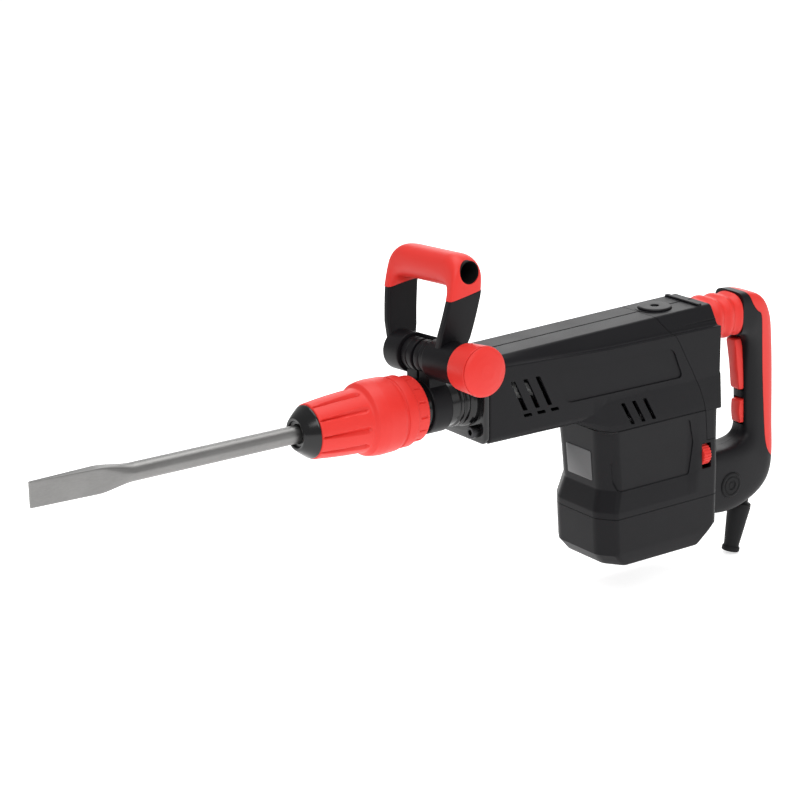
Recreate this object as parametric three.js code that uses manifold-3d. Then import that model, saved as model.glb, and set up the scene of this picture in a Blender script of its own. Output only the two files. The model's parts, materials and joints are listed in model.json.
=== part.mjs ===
// Demolition hammer: a 10 kg-class electric breaker with a flat chisel, in millimetres.
// Inside the tool group x runs rearward and z upward from the tool axis.
// The outer group moves the origin to the middle of the motor cap's flat base.
import * as THREE from 'three';
import { ConvexGeometry } from 'three/addons/geometries/ConvexGeometry.js';
import { mergeVertices } from 'three/addons/utils/BufferGeometryUtils.js';
import Module from 'manifold-3d';

const wasm = await Module();
wasm.setup();
const { Manifold, Mesh: SolidMesh } = wasm;

// ---- driving dimensions -------------------------------------------------------------------
const gap = 0.3;                // between pieces that touch
const run = 0.35;               // radial clearance of a running or sliding fit
const wall = 3;                 // plastic shells

const chiselLength = 400;
const shankInsert = 118;        // chisel held inside the chuck
const shankRadius = 9;
const bladeWidth = 25;
const bladeLength = 65;
const bladeTaper = 45;
const edgeThickness = 3;
const grooveDepth = 4;
const idleStroke = 20;

const noseX = 282;              // front of the chuck
const noseLength = 14;
const noseRadius = 26.5;
const noseFrontRadius = 16.4;
const sleeveLength = 108;
const coneLength = 56;
const coneRadius = 32;
const bulgeRadius = 38.2;
const sleeveGroove = 35;        // radius in the groove before the rear flange
const sleeveFlange = 36.2;
const sleeveSkirt = 34;         // how far the sleeve covers the index ring
const fluteCount = 10;
const ringLength = 43;
const ringReach = 15;           // what the index ring shows behind the sleeve
const ringRadius = 33.3;
const notchCount = 12;
const holderWall = 6.2;         // the tool holder outside the shank
const journalRadius = 19;
const rollerRadius = 5;
const rollerLength = 16;
const springWire = 1.4;
const springTurns = 3.5;

const neckLength = 66;          // from the index ring to the casing
const neckRadius = 25.5;
const neckBore = 22.5;
const flangeThickness = 6;
const screwRadius = 4;
const screwHead = 6.5;
const screwHeadLength = 8;

const cylinderWall = 3.2;
const cylinderRear = 625;
const crankX = 672;
const crankThrow = 20;
const rodLength = 80;
const pistonLength = 34;
const wristRadius = 5;
const ramLength = 44;
const crankPinRadius = 6;

const gearModule = 2;
const pinionTeeth = 7;
const gearTeeth = 35;
const backlash = 0.5;           // taken from each tooth's width
const gearWidth = 10;
const gearTopZ = -38;
const motorShaftRadius = 5;
const coreRadius = 25;
const statorRadius = 41;
const fanRadius = 36;
const commutatorRadius = 14;

const casingLength = 303;       // neck flange to rear face
const roofHalf = 28;
const roofFrontZ = 44;
const roofRearZ = 51;
const sideFront = 39;           // half widths of the side panels
const sideRear = 46;
const bellyZ = -43;
const motorSeamZ = -58;
const capSeamZ = -155;
const baseZ = -210;
const motorFrontX = 631;
const motorHalf = 50;
const shoulderZ = -125;
const shoulderStep = 1.5;
const slotWidth = 4;

const clampX = 439;             // the side handle's clamp on the neck
const clampWidth = 22;
const clampPlay = 0.7;          // radial, so that flat facets clear the neck as the clamp turns
const clampSwivel = THREE.MathUtils.degToRad(3.4);
const loopTilt = THREE.MathUtils.degToRad(12);
const hubHeight = 50;
const hubRadius = 20.5;
const lugRadius = 16.5;
const lugSplit = 4;
const lugLength = 17;
const loopOffset = 3;           // the loop's middle lies towards the far side
const loopHalf = 58;            // outer half width of the grip
const loopFoot = 42;            // outer half width at the hubs
const hubReach = 27;            // the near hub beyond its arm
const armThickness = 9;
const armDepth = 36;
const gripHeight = 90;
const gripRadius = 17;
const gripBore = 11.5;
const knobRadius = 24.7;
const knobLength = 29;
const knobFace = 98;            // the knob's rim, out from the clamp's middle
const knobDome = 5;
const boltRadius = 5;

const outlineEnd = 790.3;       // the rear face at which the rear outlines below are drawn
const pivotReach = 41.7;        // behind the casing's rear face
const handlePivotZ = -163;
const handleHalf = 23;
const gripHalf = 16;
const collarReach = 52.7;
const skin = 4;                 // rubber over the rear grip
const pivotRadius = 6;
const pivotCapRadius = 14.4;
const triggerHalf = 7;
const bootLength = 57;
const bootBore = 4.2;
const dialRadius = 12;
const dialWidth = 10;

// ---- stations worked out from them --------------------------------------------------------
const shankEnd = noseX + shankInsert;
const sleeveX = noseX + noseLength + gap;
const sleeveEnd = sleeveX + sleeveLength;
const ringEnd = sleeveEnd + ringReach;
const ringX = ringEnd - ringLength;
const neckX = ringEnd + 2;
const casingX = neckX + neckLength;
const casingEnd = casingX + casingLength;
const rearShift = casingEnd - outlineEnd;
const rearward = (points) => points.map(([x, z]) => [x + rearShift, z]);
const handlePivotX = casingEnd + pivotReach;
const collarX = casingEnd + collarReach;
const baseRear = casingEnd - 23;
const baseFront = motorFrontX + 14;
const motorX = crankX + gearModule * (pinionTeeth + gearTeeth) / 2;
const cylinderRadius = neckBore - gap;
const boreRadius = cylinderRadius - cylinderWall;
const holderRadius = shankRadius + holderWall;
const ramRadius = boreRadius - run;
const wristX = crankX + crankThrow - rodLength;
const crankPinX = crankX + crankThrow;
const originX = (baseFront + baseRear) / 2;

// ---- materials ----------------------------------------------------------------------------
const finish = (color, roughness, metalness = 0) =>
  new THREE.MeshStandardMaterial({ color, roughness, metalness });
const blackPlastic = () => finish(0x1b1c1e, 0.55);
const redRubber = () => finish(0xe0342c, 0.5);
const steel = () => finish(0x8b8d90, 0.38, 1);
const darkSteel = () => finish(0x3a3b3d, 0.4, 1);
const glossBlack = () => finish(0x0c0c0d, 0.22, 0.4);
const aluminium = () => finish(0xa9acb0, 0.45, 1);
const copper = () => finish(0xb5683a, 0.4, 1);
const rubber = () => finish(0x161616, 0.8);

// ---- solids -------------------------------------------------------------------------------
function solid(geometry) {
  const bare = geometry.clone();
  bare.deleteAttribute('normal');
  bare.deleteAttribute('uv');
  const merged = mergeVertices(bare, 1e-4);
  const vertProperties = new Float32Array(merged.attributes.position.array);
  const triVerts = new Uint32Array(merged.index.array);
  return new Manifold(new SolidMesh({ numProp: 3, vertProperties, triVerts }));
}

function geometryOf(shape) {
  const mesh = shape.getMesh();
  const geometry = new THREE.BufferGeometry();
  geometry.setAttribute('position', new THREE.BufferAttribute(mesh.vertProperties, 3));
  geometry.setIndex(new THREE.BufferAttribute(mesh.triVerts, 1));
  geometry.computeVertexNormals();
  return geometry;
}

const joined = (...shapes) => shapes.reduce((whole, part) => whole.add(part));
const cut = (shape, ...tools) => tools.reduce((rest, tool) => rest.subtract(tool), shape);

function box(x0, x1, y0, y1, z0, z1) {
  const geometry = new THREE.BoxGeometry(x1 - x0, y1 - y0, z1 - z0);
  return solid(geometry.translate((x0 + x1) / 2, (y0 + y1) / 2, (z0 + z1) / 2));
}

function outline(points) {
  return new THREE.Shape(points.map(([u, v]) => new THREE.Vector2(u, v)));
}

const extruded = (shape, depth) =>
  new THREE.ExtrudeGeometry(shape, { depth, bevelEnabled: false, curveSegments: 8 });

// (x, z) outline carried along y, (y, z) outline along x, (x, y) outline along z
function alongY(points, y0, y1) {
  const shape = points instanceof THREE.Shape ? points : outline(points);
  return solid(extruded(shape, y1 - y0).rotateX(Math.PI / 2).translate(0, y1, 0));
}

function alongX(points, x0, x1) {
  const geometry = extruded(outline(points), x1 - x0);
  return solid(geometry.rotateX(Math.PI / 2).rotateZ(Math.PI / 2).translate(x0, 0, 0));
}

function alongZ(points, z0, z1) {
  return solid(extruded(outline(points), z1 - z0).translate(0, 0, z0));
}

// a closed (station, radius) profile turned about the x, y or z axis
function turned(profile, axis = 'x', segments = 20) {
  const points = profile.map(([s, r]) => new THREE.Vector2(Math.max(r, 0), s));
  const geometry = new THREE.LatheGeometry(points, segments);
  if (axis === 'x') geometry.rotateZ(-Math.PI / 2);
  if (axis === 'z') geometry.rotateX(Math.PI / 2);
  const body = solid(geometry);
  return body.volume() < 0 ? solid(flipped(geometry)) : body;
}

function flipped(geometry) {
  const turnedOver = geometry.clone();
  const index = turnedOver.index.array;
  for (let i = 0; i < index.length; i += 3) {
    [index[i], index[i + 1]] = [index[i + 1], index[i]];
  }
  return turnedOver;
}

const rod = (s0, s1, radius, axis = 'x', segments = 20) =>
  turned([[s0, 0], [s0, radius], [s1, radius], [s1, 0]], axis, segments);

function tube(s0, s1, inner, outer, axis = 'x', segments = 20) {
  return turned([[s0, inner], [s0, outer], [s1, outer], [s1, inner], [s0, inner]], axis, segments);
}

// a skin through rings of equally many (x, y, z) points, closed by flat ends
function loft(rings) {
  const count = rings[0].length;
  const positions = rings.flat(2);
  const index = [];
  for (let ring = 0; ring < rings.length - 1; ring += 1) {
    for (let i = 0; i < count; i += 1) {
      const a = ring * count + i;
      const b = ring * count + (i + 1) % count;
      index.push(a, b, b + count, a, b + count, a + count);
    }
  }
  const cap = THREE.ShapeUtils.triangulateShape(
    rings[0].map(([, y, z]) => new THREE.Vector2(y, z)), []);
  const last = (rings.length - 1) * count;
  for (const [a, b, c] of cap) {
    index.push(c, b, a, last + a, last + b, last + c);
  }
  const geometry = new THREE.BufferGeometry();
  geometry.setAttribute('position', new THREE.Float32BufferAttribute(positions, 3));
  geometry.setIndex(index);
  const body = solid(geometry);
  return body.volume() < 0 ? solid(flipped(geometry)) : body;
}

const around = (count, make) => Array.from({ length: count }, (_, i) => make(2 * Math.PI * i / count, i));
const moved = (shape, x, y, z) => shape.translate([x, y, z]);
const degrees = (radians) => radians * 180 / Math.PI;
const mirroredY = (points) => [...points, ...points.map(([y, z]) => [-y, z]).reverse()];

// ---- scene graph --------------------------------------------------------------------------
const hammer = new THREE.Group();
const tool = new THREE.Group();
tool.position.set(-originX, 0, -baseZ);
hammer.add(tool);

const clampGroup = new THREE.Group();
clampGroup.position.x = clampX;
clampGroup.rotation.x = -clampSwivel;
tool.add(clampGroup);

const loopGroup = new THREE.Group();
loopGroup.position.z = hubHeight;
loopGroup.rotation.y = loopTilt;
clampGroup.add(loopGroup);

const lugGroup = new THREE.Group();
lugGroup.position.z = hubHeight;
clampGroup.add(lugGroup);

function piece(name, shape, material, parent = tool) {
  const geometry = shape instanceof THREE.BufferGeometry ? shape : geometryOf(shape);
  const mesh = new THREE.Mesh(geometry, material);
  mesh.name = name;
  parent.add(mesh);
}

// ---- chisel -------------------------------------------------------------------------------
function chisel() {
  const half = bladeWidth / 2;
  const end = bladeLength + bladeTaper;
  const width = alongY([[0, -half], [bladeLength, -half], [end - 15, -shankRadius],
    [end - 15, shankRadius], [bladeLength, half], [0, half]], -shankRadius, shankRadius);
  const thick = edgeThickness / 2;
  const taper = alongZ([[0, -thick], [bladeLength, -5.5], [end, -shankRadius - 1],
    [chiselLength, -shankRadius - 1], [chiselLength, shankRadius + 1], [end, shankRadius + 1],
    [bladeLength, 5.5], [0, thick]], -half - 1, half + 1);
  const shaft = turned([[bladeLength - 5, 0], [bladeLength - 5, shankRadius],
    [chiselLength - 2, shankRadius], [chiselLength, shankRadius - 2], [chiselLength, 0]]);
  const groove = (side) => box(rollerX - 2, rollerX + rollerLength + idleStroke + 4,
    side > 0 ? shankRadius - grooveDepth : -shankRadius - 1,
    side > 0 ? shankRadius + 1 : grooveDepth - shankRadius, -rollerRadius - 0.5, rollerRadius + 0.5);
  const spline = (angle) => box(shankEnd - 70, shankEnd + 1, -2.5, 2.5,
    shankRadius - 2.5, shankRadius + 1).rotate([degrees(angle), 0, 0]);
  const body = moved(joined(width, shaft).intersect(taper), shankEnd - chiselLength, 0, 0);
  return cut(body, groove(1), groove(-1), spline(0), spline(Math.PI));
}

// ---- chuck --------------------------------------------------------------------------------
const rollerX = noseX + 54;
const rollerY = shankRadius - grooveDepth + gap + rollerRadius;

function toolHolder() {
  const front = noseX + 8;
  const rear = neckX + 19;
  const step = shankEnd - idleStroke - 1;
  const striker = 11.5;
  const flange = sleeveX + 78;
  const body = turned([[front, shankRadius + run], [front, holderRadius - 1.5],
    [front + 1.5, holderRadius], [flange, holderRadius], [flange, 23], [flange + 4, 23],
    [flange + 4, 17.5], [neckX - 22, 17.5], [neckX - 22, journalRadius], [rear, journalRadius],
    [rear, striker], [step, striker], [step, shankRadius + run], [front, shankRadius + run]]);
  const reach = holderRadius + 2;
  const half = rollerRadius + gap;
  const window = box(rollerX - gap, rollerX + rollerLength + gap, 0, reach, -half, half);
  return cut(body, window, window.mirror([0, 1, 0]));
}

function lockingRoller(side) {
  const roller = turned([[rollerX, 0], [rollerX, rollerRadius - 0.8], [rollerX + 0.8, rollerRadius],
    [rollerX + rollerLength - 0.8, rollerRadius], [rollerX + rollerLength, rollerRadius - 0.8],
    [rollerX + rollerLength, 0]], 'x', 12);
  return moved(roller, 0, side * rollerY, 0);
}

function dustCap() {
  const rear = sleeveX - gap;
  const lip = shankRadius + 0.5;
  return turned([[noseX, lip], [noseX, noseFrontRadius - 3], [noseX + 1, noseFrontRadius],
    [noseX + 6, noseFrontRadius + 6.5], [noseX + 9, noseRadius - 1], [rear, noseRadius],
    [rear, 24], [rear + 8, 24], [rear + 8, holderRadius + run], [noseX + 7, holderRadius + run],
    [noseX + 7, lip], [noseX, lip]], 'x', 20);
}

function lockingSleeve() {
  const bulge = sleeveX + coneLength + 4;
  const inner = ringRadius + 0.7;
  const groove = sleeveEnd - 15;
  const body = turned([[sleeveX, 25], [sleeveX, noseRadius + 0.5], [sleeveX + coneLength, coneRadius],
    [bulge, bulgeRadius - 1.5], [bulge + 6, bulgeRadius], [groove - 3, bulgeRadius - 0.6],
    [groove, sleeveGroove], [groove + 2.5, sleeveGroove], [groove + 3.5, sleeveFlange],
    [sleeveEnd - 1, sleeveFlange], [sleeveEnd, sleeveFlange - 1], [sleeveEnd, inner],
    [sleeveEnd - sleeveSkirt, inner], [sleeveEnd - sleeveSkirt, 25.5], [sleeveX + 54, 25.5],
    [sleeveX + 54, holderRadius + 0.6], [sleeveX + 12, holderRadius + 0.6], [sleeveX + 12, 25],
    [sleeveX, 25]]);
  const flute = (angle) => {
    const point = [sleeveX - 1, 0, noseRadius + 0.5];
    const back = sleeveX + coneLength - 8;
    const corners = [point, [point[0], -1.6, point[2] + 3], [point[0], 1.6, point[2] + 3],
      [point[0], 0, point[2] - 1.6], [back, -3, coneRadius + 2], [back, 3, coneRadius + 2],
      [back, 0, coneRadius - 2.6], [back + 5, 0, coneRadius + 2]];
    const wedge = new ConvexGeometry(corners.map((c) => new THREE.Vector3(...c)));
    return solid(wedge).rotate([degrees(angle), 0, 0]);
  };
  return cut(body, ...around(fluteCount, flute));
}

function indexRing() {
  const front = ringX + 4;
  const body = turned([[front, 17.5 + run], [front, ringRadius - 1], [front + 1, ringRadius],
    [ringEnd - 1.5, ringRadius], [ringEnd, ringRadius - 1.5], [ringEnd, neckRadius + 2],
    [front + 4, neckRadius + 2], [front + 4, 17.5 + run], [front, 17.5 + run]], 'x', 20);
  const notch = (angle) => box(sleeveEnd + 4, ringEnd - 4, -1.3, 1.3, ringRadius - 1, ringRadius + 1)
    .rotate([degrees(angle), 0, 0]);
  return cut(body, ...around(notchCount, notch));
}

class Helix extends THREE.Curve {
  constructor(x0, x1, radius, turns) {
    super();
    Object.assign(this, { x0, x1, radius, turns });
  }

  getPoint(t) {
    const angle = 2 * Math.PI * this.turns * t;
    const x = this.x0 + (this.x1 - this.x0) * t;
    return new THREE.Vector3(x, this.radius * Math.cos(angle), this.radius * Math.sin(angle));
  }
}

function coil(x0, x1, radius, wire, turns) {
  const section = outline(around(6, (a) => [wire * Math.cos(a), wire * Math.sin(a)]));
  const extrudePath = new Helix(x0 + wire, x1 - wire, radius, turns);
  return solid(new THREE.ExtrudeGeometry(section, { steps: Math.round(turns * 10), extrudePath }));
}

// ---- barrel neck --------------------------------------------------------------------------
const plateX = casingX - flangeThickness - gap;
const screwPlaces = [[-25, -30], [25, -30], [-25, 31], [25, 31]];

function barrelNeck() {
  const spigot = neckX - 26;
  const bead = (x) => [[x, neckRadius], [x + 0.6, neckRadius + 1.6], [x + 3, neckRadius + 1.6],
    [x + 3.6, neckRadius]];
  const profile = [[spigot, neckBore], [spigot, neckRadius - 1], [neckX, neckRadius - 1],
    [neckX, neckRadius], ...bead(clampX + clampWidth / 2 + 12), ...bead(clampX + clampWidth / 2 + 18),
    [plateX - 7, neckRadius], [plateX - 4, neckRadius + 4.5], [plateX + 0.5, neckRadius + 4.5],
    [plateX + 0.5, neckBore], [spigot, neckBore]];
  const plateRing = casingSection(casingX, 1).map(([, y, z]) => [y, z]);
  const plate = alongX(plateRing, plateX, casingX - gap).subtract(rod(plateX - 1, casingX + 1, neckBore));
  const holes = screwPlaces.map(([y, z]) =>
    moved(rod(plateX - 2, casingX + 1, screwRadius + gap, 'x', 12), 0, y, z));
  const seats = screwPlaces.map(([y, z]) =>
    moved(rod(plateX - screwHeadLength - 2, plateX - gap, screwHead + 1, 'x', 12), 0, y, z));
  return cut(joined(turned(profile, 'x', 20), plate), ...holes, ...seats);
}

function flangeScrew([y, z]) {
  const seat = plateX - gap;
  const socket = solid(new THREE.CylinderGeometry(3.4, 3.4, 5, 6).rotateZ(Math.PI / 2)
    .translate(seat - screwHeadLength, 0, 0));
  const body = turned([[seat - screwHeadLength, 0], [seat - screwHeadLength, screwHead - 0.8],
    [seat - screwHeadLength + 0.8, screwHead], [seat, screwHead], [seat, screwRadius],
    [casingX + 14, screwRadius], [casingX + 14, 0]], 'x', 12);
  return moved(body.subtract(socket), 0, y, z);
}

// ---- casing -------------------------------------------------------------------------------
const blend = (a, b, t) => a + (b - a) * Math.min(Math.max(t, 0), 1);

// the casing's cross-section at x, drawn in by inset
function casingSection(x, inset = 0) {
  const t = (x - casingX) / casingLength;
  const roof = blend(roofFrontZ, roofRearZ, t) - inset;
  const side = blend(sideFront, sideRear, t) - inset;
  const waist = blend(36, 31, t * 2) - inset * 0.5;
  const scoop = blend(0.2, 3.2, t * 2);
  const belly = bellyZ + inset;
  const half = [[side - 4, belly], [side, belly + 5], [side, 0], [side, waist],
    [side - 4 - scoop, waist + 6 - scoop], [roofHalf + 1 - inset * 0.6, roof - 1.2],
    [roofHalf - 1 - inset * 0.6, roof]];
  return mirroredY(half).map(([y, z]) => [x, y, z]);
}

const casingStations = [0, 0.08, 0.2, 0.35, 0.5, 0.75, 1];
const barrelLoft = (inset, front, rear) => loft(casingStations.map((t) =>
  casingSection(blend(casingX - front, casingEnd + rear, t), inset)));

// plan outline of the motor housing, drawn in by inset
function motorPlan(inset) {
  const front = motorFrontX + inset;
  const rear = casingEnd - inset;
  const half = motorHalf - inset;
  const chamfer = 17;
  const near = [[front, -half + chamfer + 2], [front + chamfer - 3, -half], [rear - 7, -half],
    [rear, -half + 7]];
  return [...near, ...near.map(([x, y]) => [x, -y]).reverse()];
}

// side outline shared by the motor housing and its cap
function motorSide(inset) {
  const rear = casingEnd - inset;
  return [[motorFrontX + inset, motorSeamZ + 40], [motorFrontX + inset, capSeamZ],
    [motorFrontX + 2 + inset, baseZ + 14], [baseFront + inset * 0.5, baseZ + inset],
    [baseRear - inset * 0.5, baseZ + inset], [rear, baseZ + 22], [rear, motorSeamZ + 40]];
}

function motorBlock(inset) {
  const lower = alongZ(motorPlan(inset), baseZ - 5, shoulderZ);
  const upper = alongZ(motorPlan(inset + shoulderStep), shoulderZ - 1, -25);
  const side = alongY(motorSide(inset), -motorHalf - 5, motorHalf + 5);
  return joined(lower, upper).intersect(side);
}

// the casing's lower rear corner swells to meet the motor housing
function flare(inset) {
  const x = motorFrontX + 6 + inset;
  const rear = casingEnd - inset;
  const points = [];
  for (const side of [-1, 1]) {
    for (const station of [x, rear]) {
      points.push([station, side * (motorHalf - shoulderStep - inset), motorSeamZ - 1]);
      points.push([station, side * (motorHalf - shoulderStep - 1 - inset), motorSeamZ + 6]);
      points.push([station, side * (sideRear - 1 - inset), -27 - inset]);
    }
    points.push([x - 26, side * (sideFront + 1 - inset), bellyZ + inset + 1]);
    points.push([x - 45, side * 20, bellyZ + inset]);
  }
  return solid(new ConvexGeometry(points.map((p) => new THREE.Vector3(...p))));
}

const outerBody = () => joined(barrelLoft(0, 0, 0), flare(0), motorBlock(0));
const innerBody = () => joined(barrelLoft(wall, -wall, -wall), flare(wall), motorBlock(wall));

// rear cover seam, in side view from the roof down to the dial
const seamCurve = rearward([[708, 60], [713, 47], [729, 28], [740, 7], [754, -18], [763, -37],
  [768, -56], [771, -92]]);
const rearRegion = (grow) => alongY([...seamCurve.map(([x, z]) => [x - grow, z]),
  ...rearward([[771 - grow, -92 - grow], [850, -92 - grow], [850, 60]])], -70, 70);
const motorTop = [[560, -70], [motorFrontX - 41, bellyZ - 0.3], [motorFrontX - 20, -52],
  [motorFrontX + 14, motorSeamZ], [casingEnd + 70, motorSeamZ], [casingEnd + 70, -240], [560, -240]];
const motorRegion = (grow) => alongY(motorTop.map(([x, z], i) =>
  [x, i > 4 ? z : z + grow]), -70, 70);
const belowSeam = (z) => box(560, casingEnd + 70, -70, 70, -240, z);

const ventCut = (x, z, length, lean, side) => {
  const shift = length * Math.tan(lean);
  const points = [[x, z], [x + slotWidth, z], [x + slotWidth + shift, z - length], [x + shift, z - length]];
  return side > 0 ? alongY(points, 20, 70) : alongY(points, -70, -20);
};
const ventLean = THREE.MathUtils.degToRad(26);

function vents() {
  const cuts = [];
  for (const side of [-1, 1]) {
    for (let i = 0; i < 3; i += 1) {
      cuts.push(ventCut(516 + 15.5 * i, 18.5, 33, ventLean, side));
      cuts.push(ventCut(660 + 14.5 * i, -31, 24, ventLean, side));
      const shelf = 532 + 17 * i;
      const z = -18;
      cuts.push(alongY([[shelf, z], [shelf + 8, z], [shelf + 9, z - 3.5], [shelf + 1, z - 3.5]],
        side > 0 ? 20 : -70, side > 0 ? 70 : -20));
    }
  }
  return cuts;
}

function labelPanel(side) {
  const points = [[568, 19], [724, 17], [738, -17], [584, -17]];
  const depth = alongY(points, side > 0 ? sideFront + 1 : -70, side > 0 ? 70 : -sideFront - 1);
  const skinOut = barrelLoft(1, 5, 5);
  return depth.subtract(skinOut);
}

const capPlace = { x: casingEnd - 54.3, radius: 18 };

function shellParts() {
  const shell = outerBody().subtract(innerBody());
  const frontHole = rod(casingX - 5, casingX + wall + 5, cylinderRadius + 1);
  const screwHoles = screwPlaces.map(([y, z]) =>
    moved(rod(casingX - 5, casingX + wall + 2, screwRadius + gap, 'x', 12), 0, y, z));
  const half = gap / 2;
  const casing = cut(shell, rearRegion(half), motorRegion(half), frontHole, ...screwHoles,
    ...vents(), labelPanel(-1), labelPanel(1));
  const back = casingEnd + 70;
  const split = (side) => (side > 0 ? box(400, back, half, 80, -240, 80)
    : box(400, back, -80, -half, -240, 80));
  const rear = shell.intersect(rearRegion(-half)).intersect(box(600, back, -70, 70, -92 + half, 80));
  const motor = cut(shell.intersect(motorRegion(-half)), rearRegion(half), belowSeam(capSeamZ + half));
  const cap = shell.intersect(belowSeam(capSeamZ - half));
  return { left: casing.intersect(split(-1)), right: casing.intersect(split(1)), rear, motor, cap };
}

// the rear cover carries a stub for the bellows, a boss for the grease cap and a hanging rib
function rearCover(shell) {
  const stub = loft([bellowsRing(casingEnd - 4, 29, 21.5), bellowsRing(casingEnd + 12, 28.5, 21)]);
  const hollow = loft([bellowsRing(casingEnd - 6, 22, 14), bellowsRing(casingEnd + 14, 22, 14)]);
  const ribX = casingEnd - 17.3;
  const rib = box(ribX, ribX + 6, -roofHalf + 1, roofHalf - 1, roofRearZ - 1, roofRearZ + 2);
  const boss = turned([[roofRearZ - 8, 0], [roofRearZ - 8, capPlace.radius + 2],
    [roofRearZ - 1, capPlace.radius + 2], [roofRearZ - 1, 0]], 'z');
  const pocket = rod(roofRearZ - 5, roofRearZ + 5, capPlace.radius + gap, 'z');
  const fillHole = rod(roofRearZ - 12, roofRearZ, 8, 'z');
  const place = (shape) => moved(shape, capPlace.x, 0, 0);
  const groove = (side) => box(capPlace.x - 10, casingEnd + 2, side > 0 ? 36 : -60,
    side > 0 ? 60 : -36, 36, 37.6).subtract(barrelLoft(1, 5, 5));
  const seat = place(boss).subtract(box(600, seamCurve[1][0] + 2, -40, 40, 0, 60));
  const body = joined(shell, stub, rib, seat);
  return cut(body, hollow, place(pocket), place(fillHole), groove(1), groove(-1));
}

// rounded oval section of the bellows and its stub, centred above the tool axis
const bellowsZ = 26;
function bellowsRing(x, halfY, halfZ) {
  return around(16, (a) => {
    const power = 0.75;
    const c = Math.sign(Math.cos(a)) * Math.abs(Math.cos(a)) ** power;
    const s = Math.sign(Math.sin(a)) * Math.abs(Math.sin(a)) ** power;
    return [x, halfY * c, bellowsZ + halfZ * s];
  });
}

function bellows() {
  const front = casingEnd + 12 + gap;
  const rear = collarX - gap;
  const count = 3;
  const rings = [];
  for (let i = 0; i <= count * 4; i += 1) {
    const t = i / (count * 4);
    const swell = 1.6 - 1.6 * Math.cos(2 * Math.PI * t * count);
    const x = blend(front, rear, t);
    const halfY = blend(27, 21.5, t) + swell * 0.9;
    const halfZ = blend(20, 21.5, t) + swell * 0.9;
    rings.push(bellowsRing(x, halfY, halfZ));
  }
  const hole = loft([bellowsRing(front - 1, 24, 17), bellowsRing(rear + 1, 18.5, 18.5)]);
  return loft(rings).subtract(hole);
}

const dialX = casingEnd - 20.3;
const dialZ = handlePivotZ + 54;

function motorHousing(shell) {
  const notch = box(dialX - dialWidth / 2 - 1.5, dialX + dialWidth / 2 + 1.5, -70, -30,
    dialZ - 14, dialZ + 14);
  const bracket = joined(box(casingEnd - 2, handlePivotX, -7, 7, handlePivotZ + 10 - 22, handlePivotZ + 12),
    rod(-7, 7, 12, 'y', 20).translate([handlePivotX, 0, handlePivotZ]));
  const hole = moved(rod(-10, 10, pivotRadius + run, 'y', 12), handlePivotX, 0, handlePivotZ);
  const lug = bracket.subtract(box(700, casingEnd + 110, -20, 20, -240, capSeamZ + gap / 2));
  return cut(joined(shell, lug), notch, hole);
}

// ---- striking train -----------------------------------------------------------------------
function cylinder() {
  const front = plateX - 35;
  const port = (x) => rod(-40, 40, 2.5, 'y', 10).translate([x, 0, 0]);
  return cut(tube(front, cylinderRear, boreRadius, cylinderRadius), port(560), port(571));
}

function striker() {
  const nose = shankEnd + 0.5;
  const front = neckX + 41;
  return turned([[nose, 0], [nose, 8], [nose + 2, 11.1], [front, 11.1], [front + 3, 15.5],
    [front + 12, 15.5], [front + 14, 12], [front + 22, 12], [front + 22, 0]]);
}

const ramX = neckX + 75;

function ram() {
  const end = ramX + ramLength;
  const oring = ramX + 26;
  return turned([[ramX, 0], [ramX, ramRadius - 2], [ramX + 2, ramRadius], [oring, ramRadius],
    [oring, ramRadius - 2], [oring + 4, ramRadius - 2], [oring + 4, ramRadius], [end, ramRadius],
    [end, 12], [end - 12, 12], [end - 12, 0]]);
}

const sealRing = (x) => tube(x + 0.5, x + 3.5, ramRadius - 1.7, ramRadius + 0.1);

function piston() {
  const front = wristX - pistonLength * 0.55;
  const rear = front + pistonLength;
  const ring = front + 5;
  const body = turned([[front, 0], [front, ramRadius], [ring, ramRadius], [ring, ramRadius - 2],
    [ring + 4, ramRadius - 2], [ring + 4, ramRadius], [rear, ramRadius], [rear, 0]]);
  const slot = box(wristX - 10, rear + 1, -10, 10, -7.5, 7.5);
  const flare = box(rear - 8, rear + 1, -14, 14, -7.5, 7.5);
  const bore = moved(rod(-30, 30, wristRadius + gap, 'z', 12), wristX, 0, 0);
  return cut(body, slot, flare, bore);
}

const wristPin = () => moved(rod(-15, 15, wristRadius, 'z', 12), wristX, 0, 0);

function connectingRod() {
  const small = moved(tube(-6, 6, wristRadius + run, 9, 'z', 20), wristX, 0, 0);
  const large = moved(tube(-6, 6, crankPinRadius + run, 11, 'z', 20), crankPinX, 0, 0);
  const beam = box(wristX + 8, crankPinX - 9.5, -3.6, 3.6, -4, 4);
  return joined(small, large, beam);
}

// spur wheel outline with straight-flanked teeth, slimmed by the backlash
function gearOutline(teeth, phase, bore = 0) {
  const pitch = gearModule * teeth / 2;
  const points = [];
  const step = 2 * Math.PI / teeth;
  const thin = backlash / pitch / 2;
  for (let i = 0; i < teeth; i += 1) {
    const middle = phase + i * step;
    const tip = step * 0.1;
    const root = step * 0.27 - thin;
    points.push([pitch - 1.25 * gearModule, middle - root], [pitch + 0.85 * gearModule, middle - tip],
      [pitch + 0.85 * gearModule, middle + tip], [pitch - 1.25 * gearModule, middle + root]);
  }
  const shape = outline(points.map(([r, a]) => [r * Math.cos(a), r * Math.sin(a)]));
  if (bore) shape.holes.push(new THREE.Path().absarc(0, 0, bore, 0, 2 * Math.PI, true));
  return shape;
}

const wheel = (shape, z0, z1) => solid(
  new THREE.ExtrudeGeometry(shape, { depth: z1 - z0, bevelEnabled: false, curveSegments: 10 })
    .translate(0, 0, z0));

const crankJournal = 8;
const gearZ = gearTopZ - gearWidth;

const crankGear = () => moved(wheel(gearOutline(gearTeeth, 0, crankJournal + gap), gearZ, gearTopZ),
  crankX, 0, 0);

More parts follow.
